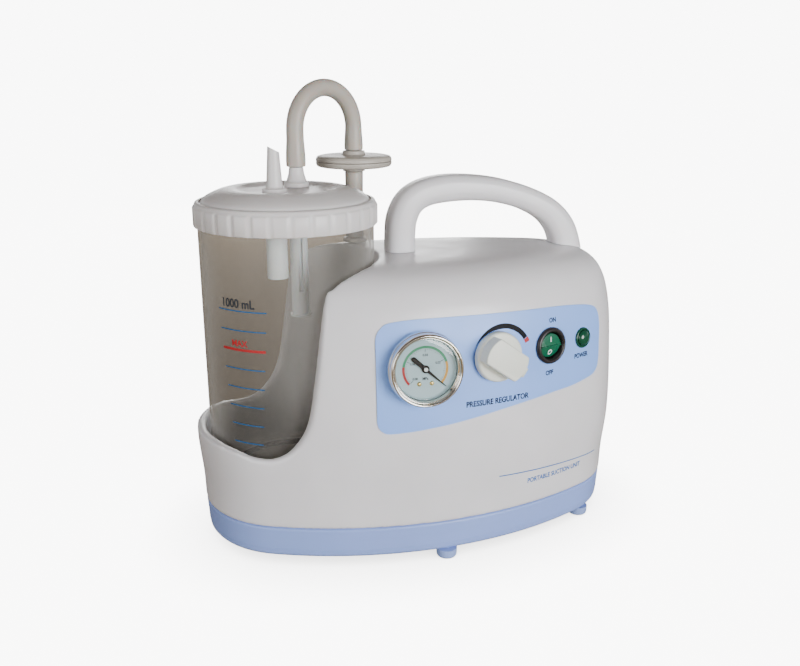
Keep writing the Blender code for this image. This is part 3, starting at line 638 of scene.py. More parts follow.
FINISH = {name: finish(name, *values, **more) for name, values, more in (
    ("white_shell", (WHITE, 0.34), {"wear": 0.3, "depth": 0.02, "soft": (0.04, 0.002),
                                    "Coat_Weight": 0.08}),
    ("blue_base", (BLUE, 0.40), {"wear": 0.25, "depth": 0.02, "soft": (0.03, 0.002)}),
    ("blue_label", (LABEL_BLUE, 0.42), {"tint": 0.015, "grain": 0.4, "depth": 0.006}),
    ("foot_rubber", ((0.27, 0.37, 0.70), 0.7), {"tint": 0.06, "depth": 0.03}),
    ("chrome", ((0.78, 0.74, 0.68), 0.13, 1.0), {"grain": 3.0, "depth": 0.004, "smudge": 0.04}),
    ("gauge_black", ((0.03, 0.032, 0.035), 0.45), {"depth": 0.01}),
    ("dial_white", ((0.44, 0.58, 0.62), 0.5), {"tint": 0.02, "depth": 0.004}),
    ("knob_cream", ((0.74, 0.76, 0.68), 0.38), {"wear": 0.3, "depth": 0.015,
                                                "soft": (0.04, 0.002)}),
    ("switch_black", ((0.018, 0.014, 0.015), 0.30), {"depth": 0.012, "wear": 0.5}),
    ("rocker_green", ((0.005, 0.12, 0.06), 0.25), {"tint": 0.12, "depth": 0.006,
                                                   "Coat_Weight": 0.2}),
    ("lamp_green", ((0.004, 0.06, 0.03), 0.18), {"tint": 0.15, "depth": 0.006,
                                                 "Coat_Weight": 0.1}),
    ("lid_white", ((0.69, 0.665, 0.66), 0.36), {"wear": 0.3, "depth": 0.015,
                                                "soft": (0.05, 0.002)}),
    ("hose_silicone", ((0.44, 0.40, 0.35), 0.42), {"tint": 0.04, "grain": 1.6, "depth": 0.02,
                                                   "soft": (0.25, 0.004)}),
    ("filter_plastic", ((0.44, 0.405, 0.355), 0.40), {"wear": 0.25}),
    ("membrane", ((0.80, 0.80, 0.77), 0.9), {"grain": 0.25, "depth": 0.03}),
    ("float_plastic", ((0.82, 0.86, 0.87), 0.3), {"depth": 0.01, "soft": (0.15, 0.003)}),
    ("black_rubber", ((0.022, 0.022, 0.022), 0.75), {"depth": 0.03}),
    ("steel", ((0.55, 0.55, 0.54), 0.32, 1.0), {"stretch": (1, 6, 6), "depth": 0.01}),
    ("zinc_plate", ((0.58, 0.57, 0.52), 0.40, 1.0), {"tint": 0.08, "grain": 2.0}),
    ("aluminium", ((0.60, 0.60, 0.60), 0.42, 1.0), {"tint": 0.05, "grain": 1.2, "depth": 0.03}),
    ("brass", ((0.66, 0.48, 0.18), 0.28, 1.0), {"tint": 0.06}),
    ("inlet_black", ((0.02, 0.02, 0.021), 0.45), {"depth": 0.02, "wear": 0.4}),
)}
FINISH["clear"] = clear_plastic("clear", (0.97, 0.98, 0.98), (0.95, 0.95, 0.95), 0.03, 0.006,
                                1.0)
FINISH["smoky_clear"] = clear_plastic("smoky_clear", (0.965, 0.962, 0.952), (0.55, 0.53, 0.50),
                                      0.06, 0.035)
for name, colour, roughness, shine in (
    ("black", (0.008, 0.008, 0.010), 0.6, 0.12), ("white", (0.85, 0.87, 0.86), 0.45, 0.5),
    ("red", (0.42, 0.008, 0.012), 0.5, 0.5), ("green", (0.02, 0.24, 0.11), 0.5, 0.5),
    ("amber", (0.62, 0.30, 0.03), 0.5, 0.5), ("blue", (0.015, 0.12, 0.42), 0.5, 0.5),
    ("sky", (0.006, 0.09, 0.24), 0.5, 0.5), ("grey", (0.03, 0.034, 0.04), 0.6, 0.2),
):
    FINISH[f"ink_{name}"] = finish(f"ink_{name}", colour, roughness, depth=0.003,
                                   Specular_IOR_Level=shine)

for node, obj in frame["nodes"].items():
    obj.data.materials.clear()
    obj.data.materials.append(FINISH[SLOT_OF[node]])


# ---- housing
HANDLE_ROOTS = (-7.0, 108.5)
HANDLE_PEG_R = 4.0
HANDLE_DEPTH = 20.0
# (x, z, thickness) along the middle of the handle
HANDLE_LINE = (
    (-7, 170, 18), (-7, 192, 18), (-5.5, 203, 18), (-0.5, 212, 17.5), (9, 217.5, 17),
    (24, 219.8, 17), (42, 219.5, 16), (60, 216.8, 15.5), (78, 211.2, 15.5), (93.5, 203, 16.5),
    (103.5, 192, 18), (108.5, 178, 19), (110, 166, 19.5),
)
VENTS = [44.0 + 9.0 * i for i in range(5)]
FEET = {
    "front_left": (-97.0, -31.0), "front_middle": (3.6, -69.5), "front_right": (108.0, -42.0),
    "rear_left": (-97.0, 31.0), "rear_middle": (3.6, 69.5), "rear_right": (108.0, 42.0),
}
SCREW_CIRCLE_R = 50
SCREW_ANGLE = math.radians(35)
SCREW_BORE_R = 2.3
SCREW_X = END_X + SCREW_CIRCLE_R * math.cos(SCREW_ANGLE)
SCREW_Y = SCREW_CIRCLE_R * math.sin(SCREW_ANGLE)
SCREWS = [(sx * SCREW_X, sy * SCREW_Y) for sx in (-1, 1) for sy in (-1, 1)]
SADDLE_EDGE = smooth_line(SADDLE, 6)
ABOVE_SADDLE = [(-62, 270), (-170, 270), (-170, 77)]


def standing(outline, depth=100):
    """A prism through the whole depth of the housing, from an outline in x and z."""
    return moved(prism(outline, -depth, depth), turn=(90, 0, 0))


def softened(bm, voxel=1.3, all_over=7, at_saddle=42, reach=13.0):
    """The solid on an even mesh, with its edges eased, and most along the saddle."""
    obj = helper(bm)
    remesh = obj.modifiers.new("even", "REMESH")
    remesh.mode = "VOXEL"
    remesh.voxel_size = voxel
    obj = helper(applied(obj))
    points = np.empty(len(obj.data.vertices) * 3)
    obj.data.vertices.foreach_get("co", points)
    points = points.reshape(-1, 3)[:, [0, 2]]
    edge = np.array([p for p in SADDLE_EDGE if p[0] > -104])
    distance = np.full(len(points), 1e9)
    for start, end in zip(edge, edge[1:]):
        along = end - start
        t = np.clip((points - start) @ along / (along @ along), 0, 1)
        distance = np.minimum(distance, np.hypot(*(points - start - t[:, None] * along).T))
    weights = np.clip(1 - distance / reach, 0, 1)
    group = obj.vertex_groups.new(name="saddle")
    for i in np.flatnonzero(weights > 0):
        group.add([int(i)], float(weights[i]), "REPLACE")
    for name, count, vertex_group in (("all", all_over, ""), ("saddle", at_saddle, "saddle")):
        ease = obj.modifiers.new(name, "SMOOTH")
        ease.factor = 0.5
        ease.iterations = count
        ease.vertex_group = vertex_group
    return applied(obj)


def make_shell():
    outer = housing(SIDE_LINE)
    saddle = standing(SADDLE_EDGE + ABOVE_SADDLE)
    well = moved(rod(WELL_R, WELL_FLOOR_Z, 300, sides=128), at=JAR_AT)
    body = softened(cut(outer, saddle, well))
    cavity = housing(smooth_line(CAVITY_SIDE, 4), -WALL)
    inside = [standing(offset_line(SADDLE_EDGE, WALL + 2) + ABOVE_SADDLE),
              moved(rod(WELL_R + CUP_WALL, WELL_FLOOR_Z - WALL, 300, sides=128),
                    at=JAR_AT)]
    for x, y in SCREWS:
        inside.append(rod(8.5, 31.4, 60 if x > 0 else WELL_FLOOR_Z - 1, (x, y), 24))
    cavity = cut(cavity, *inside)
    holes = [moved(rod(radius, -12, 9), matrix) for matrix, radius, _ in CONTROLS]
    holes.append(moved(block((28, 28.6, 20)), INLET_FRAME))
    holes.append(rod(4.6, 150, 200, FILTER_PORT))
    holes.extend(moved(prism(rounded_box(3.6, 30, 1.7, 5), -100, -50), turn=(90, 0, 0),
                       at=(x, 0, 64)) for x in VENTS)
    holes.extend(rod(HANDLE_PEG_R + GAP, 150, 200, (x, 0), 24) for x in HANDLE_ROOTS)
    holes.extend(rod(SCREW_BORE_R, 20, WELL_FLOOR_Z - 1.5, place, 16) for place in SCREWS)
    body = cut(cut(body, cavity), *holes)
    piece("shell_moulding", body, "white_shell", "upper_shell", smooth_angle=40)


def make_tray():
    tray = housing(bent([(z, inset) for z, inset in BASE_SIDE], 0.3))
    lip = loft([[(x, y, z) for x, y in oval(6.2)] for z in (12, 30.6, 31)])
    inside = loft([[(x, y, z) for x, y in oval(8.6)] for z in (9, 40)])
    inside = cut(inside, *[rod(6.5, 0, 60, place, 24) for place in SCREWS])
    pockets = [rod(4.3, 0, 11.7, place, 32) for place in SCREWS]
    pockets += [rod(SCREW_BORE_R, 0, 40, place, 24) for place in SCREWS]
    pockets += [rod(SCREW_BORE_R, 0, 12, place, 24) for place in FEET.values()]
    pockets += [block((4, 40, 20), (62 + 10 * i, 0, 9)) for i in range(4)]
    tray = cut(cut(join(tray, lip), inside), *pockets)
    piece("tray_moulding", tray, "blue_base", "base_tray")


def make_feet():
    profile = bent([(0, 11.2), (1.9, 11.2), (1.9, 5.7), (6.5, 5.7), (6.4, 1.2, 1.0),
                    (5.6, 0, 1.0), (2.5, 0), (2.2, 0.6), (0, 0.6)], 0.3)
    for name, (x, y) in FEET.items():
        foot = moved(turned(profile, 48), at=(x, y, 0))
        piece(f"rubber_foot_{name}", foot, "foot_rubber", f"foot_{name}")


def make_handle():
    stations = smooth_line(HANDLE_LINE, 6)
    rings = []
    for i, (x, z, thick) in enumerate(stations):
        ahead = stations[min(i + 1, len(stations) - 1)]
        behind = stations[max(i - 1, 0)]
        along = Vector((ahead[0] - behind[0], ahead[1] - behind[1])).normalized()
        outward = Vector((-along[1], along[0]))
        rings.append([(x + outward[0] * u, v, z + outward[1] * u)
                      for u, v in rounded_box(thick, HANDLE_DEPTH, 6.2)])
    handle = cut(loft(rings), housing(SIDE_LINE, GAP))
    handle = join(handle, *[rod(HANDLE_PEG_R, 168, 190, (x, 0), 32) for x in HANDLE_ROOTS])
    piece("handle_moulding", handle, "white_shell", "carry_handle", smooth_angle=50)


# ---- label and prints
# (x, height of the lower edge, height of the upper edge)
LABEL_SPAN = (
    (-42, 96.5, 143), (-41.2, 93, 147.5), (-38.5, 90, 151.4), (-34, 88.9, 154),
    (-20, 89.6, 155.4), (0, 91.8, 155.6), (18, 94.3, 155.4), (36, 97, 155.1), (54, 99.2, 154.6),
    (72, 101, 154), (87, 102, 152.8), (99, 103.8, 151), (106, 105.6, 148.6),
    (109.6, 109.4, 143.6), (110.8, 116, 136),
)
LABEL_ROWS = 20
LABEL_THICKNESS = 0.4


def make_label():
    rings = []
    for x, low, high in smooth_line(LABEL_SPAN, 5):
        heights = [low + (high - low) * i / LABEL_ROWS for i in range(LABEL_ROWS + 1)]
        front = [wall_point(x, z, LABEL_FACE) for z in heights]
        back = [wall_point(x, z, LABEL_FACE - LABEL_THICKNESS) for z in reversed(heights)]
        rings.append(front + back)
    holes = [moved(rod(radius, -12, 9), matrix) for matrix, _, radius in CONTROLS]
    label = cut(loft(rings), *holes)
    piece("label_film", label, "blue_label", "control_panel_label")


def printed(name, bm, ink, node="control_panel_label"):
    return piece(name, bm, ink, node, stands=False)


def make_prints():
    scale = on_wall(KNOB[0] + 4.3, KNOB[1] - 1.6)
    taper = arc_band((19.7, 17.2), (19.8, 20.2), 153, 100, 20)
    bow = arc_band((17.2, 17.2), (20.2, 20.2), 100, 32, 24)
    printed("print_range_arc", band(taper + bow[1:], scale), "ink_black")
    printed("print_range_limit", band(arc_band((17.2, 17.2), (20.4, 20.4), 31.2, 23), scale),
            "ink_red")
    for name, words, height, place in (
        ("regulator", "PRESSURE REGULATOR", 3.6, on_wall(KNOB[0] + 1.9, KNOB[1] - 27.5)),
        ("on", "ON", 3.0, on_wall(SWITCH[0] + 2.0, SWITCH[1] + 15.4)),
        ("off", "OFF", 3.0, on_wall(SWITCH[0], SWITCH[1] - 16.9)),
        ("power", "POWER", 3.1, on_wall(LAMP[0] - 0.2, LAMP[1] - 10.9)),
    ):
        printed(f"print_{name}", lettering(words, height, place, 0.86), "ink_black")
    wall = on_wall(0, 0, lift=0.0)
    line = line_band((35.5, 51.6), (119.5, 47.6), 0.7, 40)
    printed("print_shell_line", band(line, wall), "ink_blue", "upper_shell")
    words = lettering("PORTABLE SUCTION UNIT", 3.4, on_wall(79, 43.6, lift=0.0), 0.86)
    printed("print_unit_name", words, "ink_blue", "upper_shell")


# ---- gauge
POINTER_REST = -42.0
DIAL_R = 17.9
DIAL_Z = 3.6
LENS_Z = 7.1
NEEDLE_TIP = 16.2
NEEDLE_TAIL = 10.6
ARC_R = (12.1, 13.6)
SCALE_START = 222.0
SCALE_SPAN = -264.0
SCALE = ("0.08", "0.06", "0.04", "0.02", "0")


def make_gauge():
    bezel = tube([
        (21.9, 0.95, 0.4), (21.9, 4.4, 0.8), (21.3, 5.2, 0.4), (21.5, 8.8, 1.2),
        (20.6, 10.45, 1.2), (19.5, 10.1, 0.6), (19.1, 9.0, 0.3), (18.7, 9.1, 0.4),
        (18.2, 7.4, 0.2), (18.2, 1.5), (20.0, 1.4)], 0.2, 128, steps=6)
    piece("bezel_ring", moved(bezel, GAUGE_FRAME), "chrome", "gauge_bezel",
          smooth_angle=60)
    lens = bent([(0, LENS_Z), (10, LENS_Z - 0.1, 5), (DIAL_R, LENS_Z - 0.3), (DIAL_R, 5.8),
                 (0, 5.8)], 0.2)
    piece("lens_disc", moved(turned(lens, 96), GAUGE_FRAME), "clear", "gauge_lens")
    dial = bent([(0, DIAL_Z), (DIAL_R - 0.9, DIAL_Z, 0.6), (DIAL_R - 0.1, DIAL_Z + 0.9),
                 (DIAL_R - 0.1, DIAL_Z + 2.0), (DIAL_R, DIAL_Z + 2.0), (DIAL_R, 2.6), (0, 2.6)],
                0.1)
    piece("dial_plate", moved(turned(dial, 96), GAUGE_FRAME), "dial_white",
          "gauge_dial")
    make_dial_prints()
    tail = [(-NEEDLE_TAIL + 1.4 * (1 - math.sin(a)), 1.4 * math.cos(a))
            for a in (math.pi * k / 10 for k in range(11))]
    tip = [(0, -1.25), (4, -0.7), (NEEDLE_TIP, -0.14), (NEEDLE_TIP, 0.14), (4, 0.7), (0, 1.25)]
    needle = prism(tail + tip, 0.6, 1.1)
    hub = turned(bent([(0, 1.8), (1.3, 1.8), (2.2, 1.5, 0.3), (2.3, 0.4), (0, 0.4)], 0.15), 40)
    needle = merged(needle, hub, rod(0.9, -17, 0.7, sides=20))
    turn = (GAUGE_FRAME @ Matrix.Translation((0, 0, DIAL_Z))
            @ Matrix.Rotation(math.radians(POINTER_REST), 4, "Z"))
    piece("pointer_needle", moved(needle, turn), "ink_black", "gauge_pointer")
    cap = turned(bent([(0, 2.1), (1.0, 2.1), (1.25, 1.75), (0, 1.75)], 0.1), 32)
    piece("pointer_cap", moved(cap, turn), "ink_white", "gauge_pointer", stands=False)


def make_dial_prints():
    face = on_frame(GAUGE_FRAME, DIAL_Z)
    low, high = ARC_R
    for name, start, end, ink in (("low", 222, 172, "ink_red"), ("middle", 172, 16, "ink_green"),
                                  ("high", 16, -42, "ink_amber")):
        stations = arc_band((low, low), (high, high), start, end)
        printed(f"dial_arc_{name}", band(stations, face), ink, "gauge_dial")
    ticks = []
    for i in range(41):
        angle = math.radians(SCALE_START + SCALE_SPAN * i / 40)
        length = 1.8 if i % 10 == 0 else 1.2 if i % 5 == 0 else 0.7
        along = Vector((math.cos(angle), math.sin(angle)))
        side = Vector((-along.y, along.x)) * (0.12 if i % 10 else 0.17)
        near, far = along * (low - 0.3 - length), along * (low - 0.3)
        ticks.append(band([((near - side)[:], (near + side)[:]),
                           ((far - side)[:], (far + side)[:])], face, DIAL_PRINT_FACE))
    printed("dial_ticks", merged(*ticks), "ink_grey", "gauge_dial")
    numbers = []
    for i, words in enumerate(SCALE):
        angle = math.radians(SCALE_START + SCALE_SPAN * i / (len(SCALE) - 1))
        place = on_frame(GAUGE_FRAME @ Matrix.Translation(
            (8.2 * math.cos(angle), 8.2 * math.sin(angle), 0)), DIAL_Z)
        numbers.append(lettering(words, 1.5, place, face=DIAL_PRINT_FACE))
    place = on_frame(GAUGE_FRAME @ Matrix.Translation((0, -5.6, 0)), DIAL_Z)
    numbers.append(lettering("MPa", 1.7, place, face=DIAL_PRINT_FACE))
    printed("dial_numbers", merged(*numbers), "ink_grey", "gauge_dial")
    screws = []
    for side in (-1, 1):
        head = turned(bent([(0, 0.75), (0.9, 0.7), (1.35, 0.2), (1.35, -0.1), (0, -0.1)], 0.15), 32)
        head = cut(head, block((3, 0.3, 0.6), (0, 0, 0.75)))
        screws.append(moved(head, GAUGE_FRAME, at=(side * 3.7, -8.7, DIAL_Z)))
    printed("dial_screws", merged(*screws), "brass", "gauge_dial")


# ---- knob, switch, lamp
KNOB_R = 15.0
KNOB_FACE = 6.4
GRIP_TOP = 15.0
GRIP_WIDTH = 16.4
KNOB_TURN = -36.0
ROCKER_REST = 8.0
ROCKER_R = 7.5
ROCKER_SLOPE = 9  # degrees, of each half of its face


def make_knob():
    disc = turned(bent([(0, KNOB_FACE), (KNOB_R - 1.1, KNOB_FACE, 0.8),
                        (KNOB_R - 0.2, KNOB_FACE - 1.0, 0.8), (KNOB_R, 1.8, 0.4),
                        (KNOB_R - 1.5, 1.8), (KNOB_R - 2, 4.4), (5, 4.4), (5, 3.6), (0, 3.6)],
                       0.25), 128)
    end_r = KNOB_R - 1.2
    spread = math.asin(GRIP_WIDTH / 2 / end_r)
    outline = [(end_r * math.cos(a), end_r * math.sin(a))
               for start in (0, math.pi)
               for a in (start + spread * (k / 12 - 1) for k in range(25))]
    grip = eased(prism(outline, KNOB_FACE - 1.2, GRIP_TOP), 1.1, 4, 50)
    nib = eased(block((7, 6.4, 7.4), (KNOB_R - 0.4, 0, 6.4)), 0.9, 3)
    knob = eased(cut(join(disc, grip, nib), rod(3.15, 2, 8.4)), 0.35, 2, 40)
    turn = KNOB_FRAME @ Matrix.Rotation(math.radians(KNOB_TURN), 4, "Z")
    piece("knob_moulding", moved(knob, turn), "knob_cream", "regulator_knob")


def make_switch():
    body = tube([
        (8.4, 2.4, 0.5), (9.3, 3.3, 0.5), (10.2, 3.2, 0.5), (11.3, 2.2, 0.5), (11.3, 1.1, 0.2),
        (10.0, 1.1), (10.0, -22), (3.0, -22), (3.0, -20.4), (8.4, -20.4)], 0.2, 96)
    piece("switch_bezel", moved(body, SWITCH_FRAME), "switch_black", "switch_body",
          smooth_angle=50)
    turn = SWITCH_FRAME @ Matrix.Rotation(math.radians(ROCKER_REST), 4, "X")
    rocker = turned([(0, 2.6), (ROCKER_R, 2.6), (ROCKER_R, -2.2), (0, -2.2)], 96)
    for end in (-1, 1):
        slope = moved(block((24, 12, 4), (0, end * 6, 3.6)), turn=(end * -ROCKER_SLOPE, 0, 0))
        rocker = cut(rocker, slope)
    rocker = eased(rocker, 0.45, 3)
    rocker = join(rocker, moved(rod(1.3, -8.0, 8.0, sides=24), turn=(0, 90, 0)))
    piece("rocker_cap", moved(rocker, turn), "rocker_green", "switch_rocker")
    for name, side, stations in (
        ("on", 1, line_band((-0.32, 0), (0.32, 0), 3.2, 1)),
        ("off", -1, arc_band((1.05, 1.05), (1.7, 1.7), 0, 360, 32)),
    ):
        tilt = Matrix.Rotation(math.radians(side * -ROCKER_SLOPE), 4, "X")
        face = on_frame(turn @ tilt @ Matrix.Translation((0, side * 3.9, 0)), 1.6)
        printed(f"rocker_mark_{name}", band(stations, face), "ink_white", "switch_rocker")


def make_lamp():
    body = tube([
        (6.3, 2.2, 0.4), (6.6, 1.1), (4.7, 1.1), (4.7, -16), (1.5, -16), (1.5, -14.5),
        (4.0, -14.5), (4.0, 0.2), (5.2, 1.5), (5.4, 2.3, 0.3)], 0.2, 72)
    piece("lamp_ring", moved(body, LAMP_FRAME), "lamp_green", "lamp_body")
    lens = bent([(0, 4.6), (2.2, 4.35, 1), (4.2, 3.3, 1), (5.0, 1.9, 0.5), (3.6, 0.4),
                 (3.6, -2), (0, -2)], 0.2)
    lens = eased(turned(lens, 72), 0.05, 1, 80)
    facets = [moved(prism(circle(0.55, 6), 3.2, 6.5), at=(2.3 * math.cos(a), 2.3 * math.sin(a), 0))
              for a in (math.pi * k / 4 for k in range(8))]
    lens = cut(lens, *[moved(f, at=(0, 0, 1.0)) for f in facets])
    piece("lamp_cap", moved(lens, LAMP_FRAME), "lamp_green", "lamp_lens")


# ---- jar
LINE_TOP_Z = 159.1  # height of the 1000 mL line
LINE_PITCH = 11.6
LINE_COUNT = 8
MAX_LINE = 2


def make_jar():
    inner = JAR_R - JAR_WALL
    low, high = JAR_Z
    profile = bent([
        (JAR_R, high, 0.3), (JAR_R, low + 4, 3.5), (JAR_R - 4, low, 3.5), (46, low, 0.6),
        (45.4, low + 0.7, 0.5), (0, low + 0.9), (0, low + 2.4), (inner - 4, low + 2.4, 3.5),
        (inner, low + 6, 3.5), (inner, high, 0.3)], 0.2, steps=6)
    jar = moved(turned(profile, 192, ring=True), at=JAR_AT)
    piece("jar_moulding", jar, "smoky_clear", "collection_jar", smooth_angle=50)
    for i in range(LINE_COUNT):
        share = i / (LINE_COUNT - 1)
        left = math.radians(58.0 - 8.0 * share)
        right = math.radians(22.7 + 5.9 * share)
        ink, width = ("ink_red", 1.5) if i == MAX_LINE else ("ink_sky", 0.75)
        line = line_band((-left * JAR_R, 0), (-right * JAR_R, 0), width, 40)
        place = on_jar(0, LINE_TOP_Z - LINE_PITCH * i)
        printed(f"jar_line_{i}", band(line, place), ink, "collection_jar")
    volume = lettering("1000 mL", 5.4, on_jar(42, LINE_TOP_Z + 4.4), 0.9)
    printed("jar_volume", volume, "ink_grey", "collection_jar")
    limit = lettering("MAX", 3.9, on_jar(42, LINE_TOP_Z - LINE_PITCH * MAX_LINE + 3.9), 0.95)
    printed("jar_limit", limit, "ink_red", "collection_jar")
    seat = tube([(44.0, 40.6), (44.8, 38.3), (40.2, 38.3), (41.0, 40.6)], 0.6, 128,
                JAR_AT)
    piece("seat_ring", seat, "black_rubber", "jar_seat_ring")


# ---- lid
PADS = 30
PAD_STEPS = 16
PAD_RISE = 0.75
RING_R = 54.85
RING_Z = (202.0, 216.7)


def make_lid_ring():
    """The cap's ring, with broad low pads for the fingers all round."""
    low, high = RING_Z
    steps = PADS * PAD_STEPS
    section = [(low, 0.5, 0.0), (low + 0.15, 0.12, 0.5), (low + 0.8, 0.0, 1.0),
               (high - 3.6, 0.0, 1.0), (high - 2.7, 0.1, 0.4), (high - 2.2, 0.35, 0.0),
               (high - 1.5, 0.45, 0.0), (high - 0.6, 0.9, 0.0), (high - 0.1, 1.9, 0.0),
               (high, 3.0, 0.0)]
    rings = []
    for z, inset, pad in section:
        ring = []
        for i in range(steps):
            phase = (i / PAD_STEPS) % 1
            rise = min(1.0, max(0.0, (0.5 - abs(phase - 0.5)) * 7 - 0.35))
            radius = RING_R - inset + PAD_RISE * pad * rise
            angle = 2 * math.pi * i / steps
            ring.append((radius * math.cos(angle), radius * math.sin(angle), z))
        rings.append(ring)
    bore = turned([(0, high + 5), (51.8, high + 5), (51.8, high - 1.8), (53.9, high - 1.8),
                   (53.9, low - 5), (0, low - 5)], 160)
    ring = moved(cut(loft(rings), bore), at=JAR_AT)
    piece("cap_ring", ring, "lid_white", "lid_ring", smooth_angle=45)


def make_lid_cover():
    profile = bent([
        (0, LID_DECK_Z), (26.0, LID_DECK_Z, 2.5), (31.0, 224.0, 3.0), (38, 223.5, 5),
        (45.5, 220.6, 4), (49.6, 218.0, 2), (50.6, 216.0, 0.8), (53.4, 214.9, 0.2),
        (53.4, 212.3), (49.6, 212.3), (49.6, 207), (47.8, 207), (47.8, 214.5, 2),
        (42, 219.2, 2), (31, 221.8, 1), (26.5, 219.4, 1), (0, 219.4)], 0.2, steps=6)
    cover = moved(turned(profile, 160), at=JAR_AT)
    cover = cut(cover, *[rod(4.6, 200, 240, place, 32)
                         for place in (PATIENT_NOZZLE, VACUUM_NOZZLE)])
    piece("cover_moulding", cover, "lid_white", "lid_cover")


def make_nozzles():
    nozzle = tube([
        (3.3, 249, 0.6), (3.9, 240), (4.7, 228), (5.0, 225.2, 0.8), (7.2, 224.6, 0.4),
        (7.4, FLANGE_Z, 0.3), (4.2, FLANGE_Z), (4.2, 205), (2.5, 205), (2.5, 249, 0.2)], 0.3, 64)
    slanted = moved(block((20, 20, 10), (0, 0, 5)), turn=(0, 28, 0), at=(0, 0, 247.2))
    nozzle = moved(cut(nozzle, slanted), at=(*PATIENT_NOZZLE, 0))
    piece("patient_spout", nozzle, "lid_white", "patient_nozzle")
    drip = tube([(6.3, TUBE_TOP_Z), (6.3, 171.0, 0.5), (5.1, 171.0, 0.5), (5.1, TUBE_TOP_Z)],
                0.3, 64, (*PATIENT_NOZZLE, 0))
    piece("patient_drip_tube", drip, "float_plastic", "patient_nozzle", stands=False)
    vacuum = tube([
        (3.1, 247), (3.2, HOSE_START_Z - GAP), (4.4, HOSE_START_Z - GAP, 0.3),
        (4.9, 230, 1), (6.3, 225.4, 1.0), (7.6, 224.6, 0.4), (7.8, FLANGE_Z, 0.3),
        (4.2, FLANGE_Z), (4.2, 209.2), (2.2, 209.2), (2.2, 247)], 0.3, 64, (*VACUUM_NOZZLE, 0))
    piece("vacuum_spout", vacuum, "lid_white", "vacuum_nozzle")


def make_float():
    cage = tube([
        (5.6, TUBE_TOP_Z), (5.6, 196), (5.85, 195), (5.85, 191), (5.6, 190), (5.6, 139.5, 0.5),
        (2.6, 139.5), (2.6, 141), (4.6, 141), (4.6, TUBE_TOP_Z)], 0.3, 64)
    cage = cut(cage, block((3, 14, 40), (0, 0, 176)))
    foot = tube([(2.6, 140.6), (6.6, 140.6), (6.6, 139.5), (2.6, 139.5)], 0.3, 48)
    cage = moved(join(cage, moved(foot, at=(0, 0, -0.02))), at=(*VACUUM_NOZZLE, 0))
    piece("float_guide", cage, "float_plastic", "float_cage")
    seal = tube([(5.7, 207), (6.9, 206.4), (6.9, 198.6), (5.7, 198)], 0.5, 48,
                (*VACUUM_NOZZLE, 0))
    printed("float_guide_seal", seal, "ink_grey", "float_cage")


# ---- hose and filter
def arch_line(steps=28):
    """Centre line of the hose that arches from the lid over to the filter."""
    start = Vector((*VACUUM_NOZZLE, HOSE_START_Z))
    end = Vector((*FILTER_PORT, FILTER_Z + 7))
    half = (end - start) / 2
    half.z = 0
    middle = start + half
    rise = ARCH_TOP_Z - half.length - start.z
    bend = []
    for i in range(steps + 1):
        angle = math.pi * i / steps
        lift = rise + half.length * math.sin(angle)
        bend.append(middle - half * math.cos(angle) + Vector((0, 0, lift)))
    low = [start + Vector((0, 0, z)) for z in (0, 0.5, 4, 9, 13, 16)]
    high = [end + Vector((0, 0, z)) for z in (15, 11, 7, 3, 0.4, 0)]
    return [*low, *bend, *high]


def make_hoses():
    line = arch_line()
    count = len(line)
    flare = (HOSE_R - 0.5, HOSE_R, HOSE_R + 0.1, HOSE_R - 0.1, HOSE_R - 0.4, HOSE_R - 0.6)
    radii = [HOSE_R - 0.65] * count
    for i, radius in enumerate(flare):
        radii[i] = radius
        radii[count - 1 - i] = radius
    piece("arch_hose", swept(line, radii, HOSE_BORE_R), "hose_silicone", "hose_arch")
    short = tube([(HOSE_R, 227.6, 0.5), (HOSE_R - 0.3, 205), (HOSE_R, 184.6, 0.5),
                  (3.7, 184.6), (3.7, 227.6)], 0.3, 48, (*FILTER_PORT, 0))
    piece("short_hose", short, "hose_silicone", "hose_lower")


def make_filter():
    """The two halves of the disc filter, with fine ribs round the rim."""
    half = [
        (3.35, 17.5, 0.4), (3.35, 6.6), (7.2, 6.6, 0.5), (7.5, 4.1, 0.6), (21, 3.9, 1),
        (24.2, 3.2, 1.0), (FILTER_R, 1.4, 0.8), (FILTER_R - 0.1, 0.15, 0.3), (21, 0.15),
        (21, 1.6), (2, 1.9), (2, 17.5, 0.3)]
    for name, node, turn in (("upper", "filter_upper_half", 0),
                             ("lower", "filter_lower_half", 180)):
        grooves = [moved(block((0.5, 0.35, 2.0), (FILTER_R + 0.05, 0, 1.7)),
                         turn=(0, 0, 360 * i / RIBS)) for i in range(RIBS)]
        shape = cut(tube(half, 0.2, 120), merged(*grooves))
        shape = moved(shape, turn=(turn, 0, 0), at=(*FILTER_PORT, FILTER_Z))
        piece(f"filter_shell_{name}", shape, "filter_plastic", node)
    port = tube([(3.35, 198), (3.35, 184.3), (7.6, 183.9, 0.5), (8, TOP_Z + GAP, 0.3),
                 (4.2, TOP_Z + GAP), (4.2, 172), (2.6, 163), (1.7, 163), (1.7, 198)],
                0.3, 48, (*FILTER_PORT, 0))
    piece("inlet_port", port, "filter_plastic", "vacuum_inlet_port")


for make in (make_shell, make_tray, make_feet, make_handle, make_label, make_prints, make_gauge,
             make_knob, make_switch, make_lamp, make_jar, make_lid_ring, make_lid_cover,
             make_nozzles, make_float, make_hoses, make_filter):
    make()


# ---- floor, light, camera
# This section is in the frame's metres.
PALE = 9.0  # how bright the floor and the room behind it look
ROOM_COLOURS = ((0.05, (0.92, 0.96, 1)), (0.4, (0.16, 0.13, 0.11)))  # by height
LIGHT_SIZE = 0.8
LIGHT_AIM = (0, 0, 0.12)


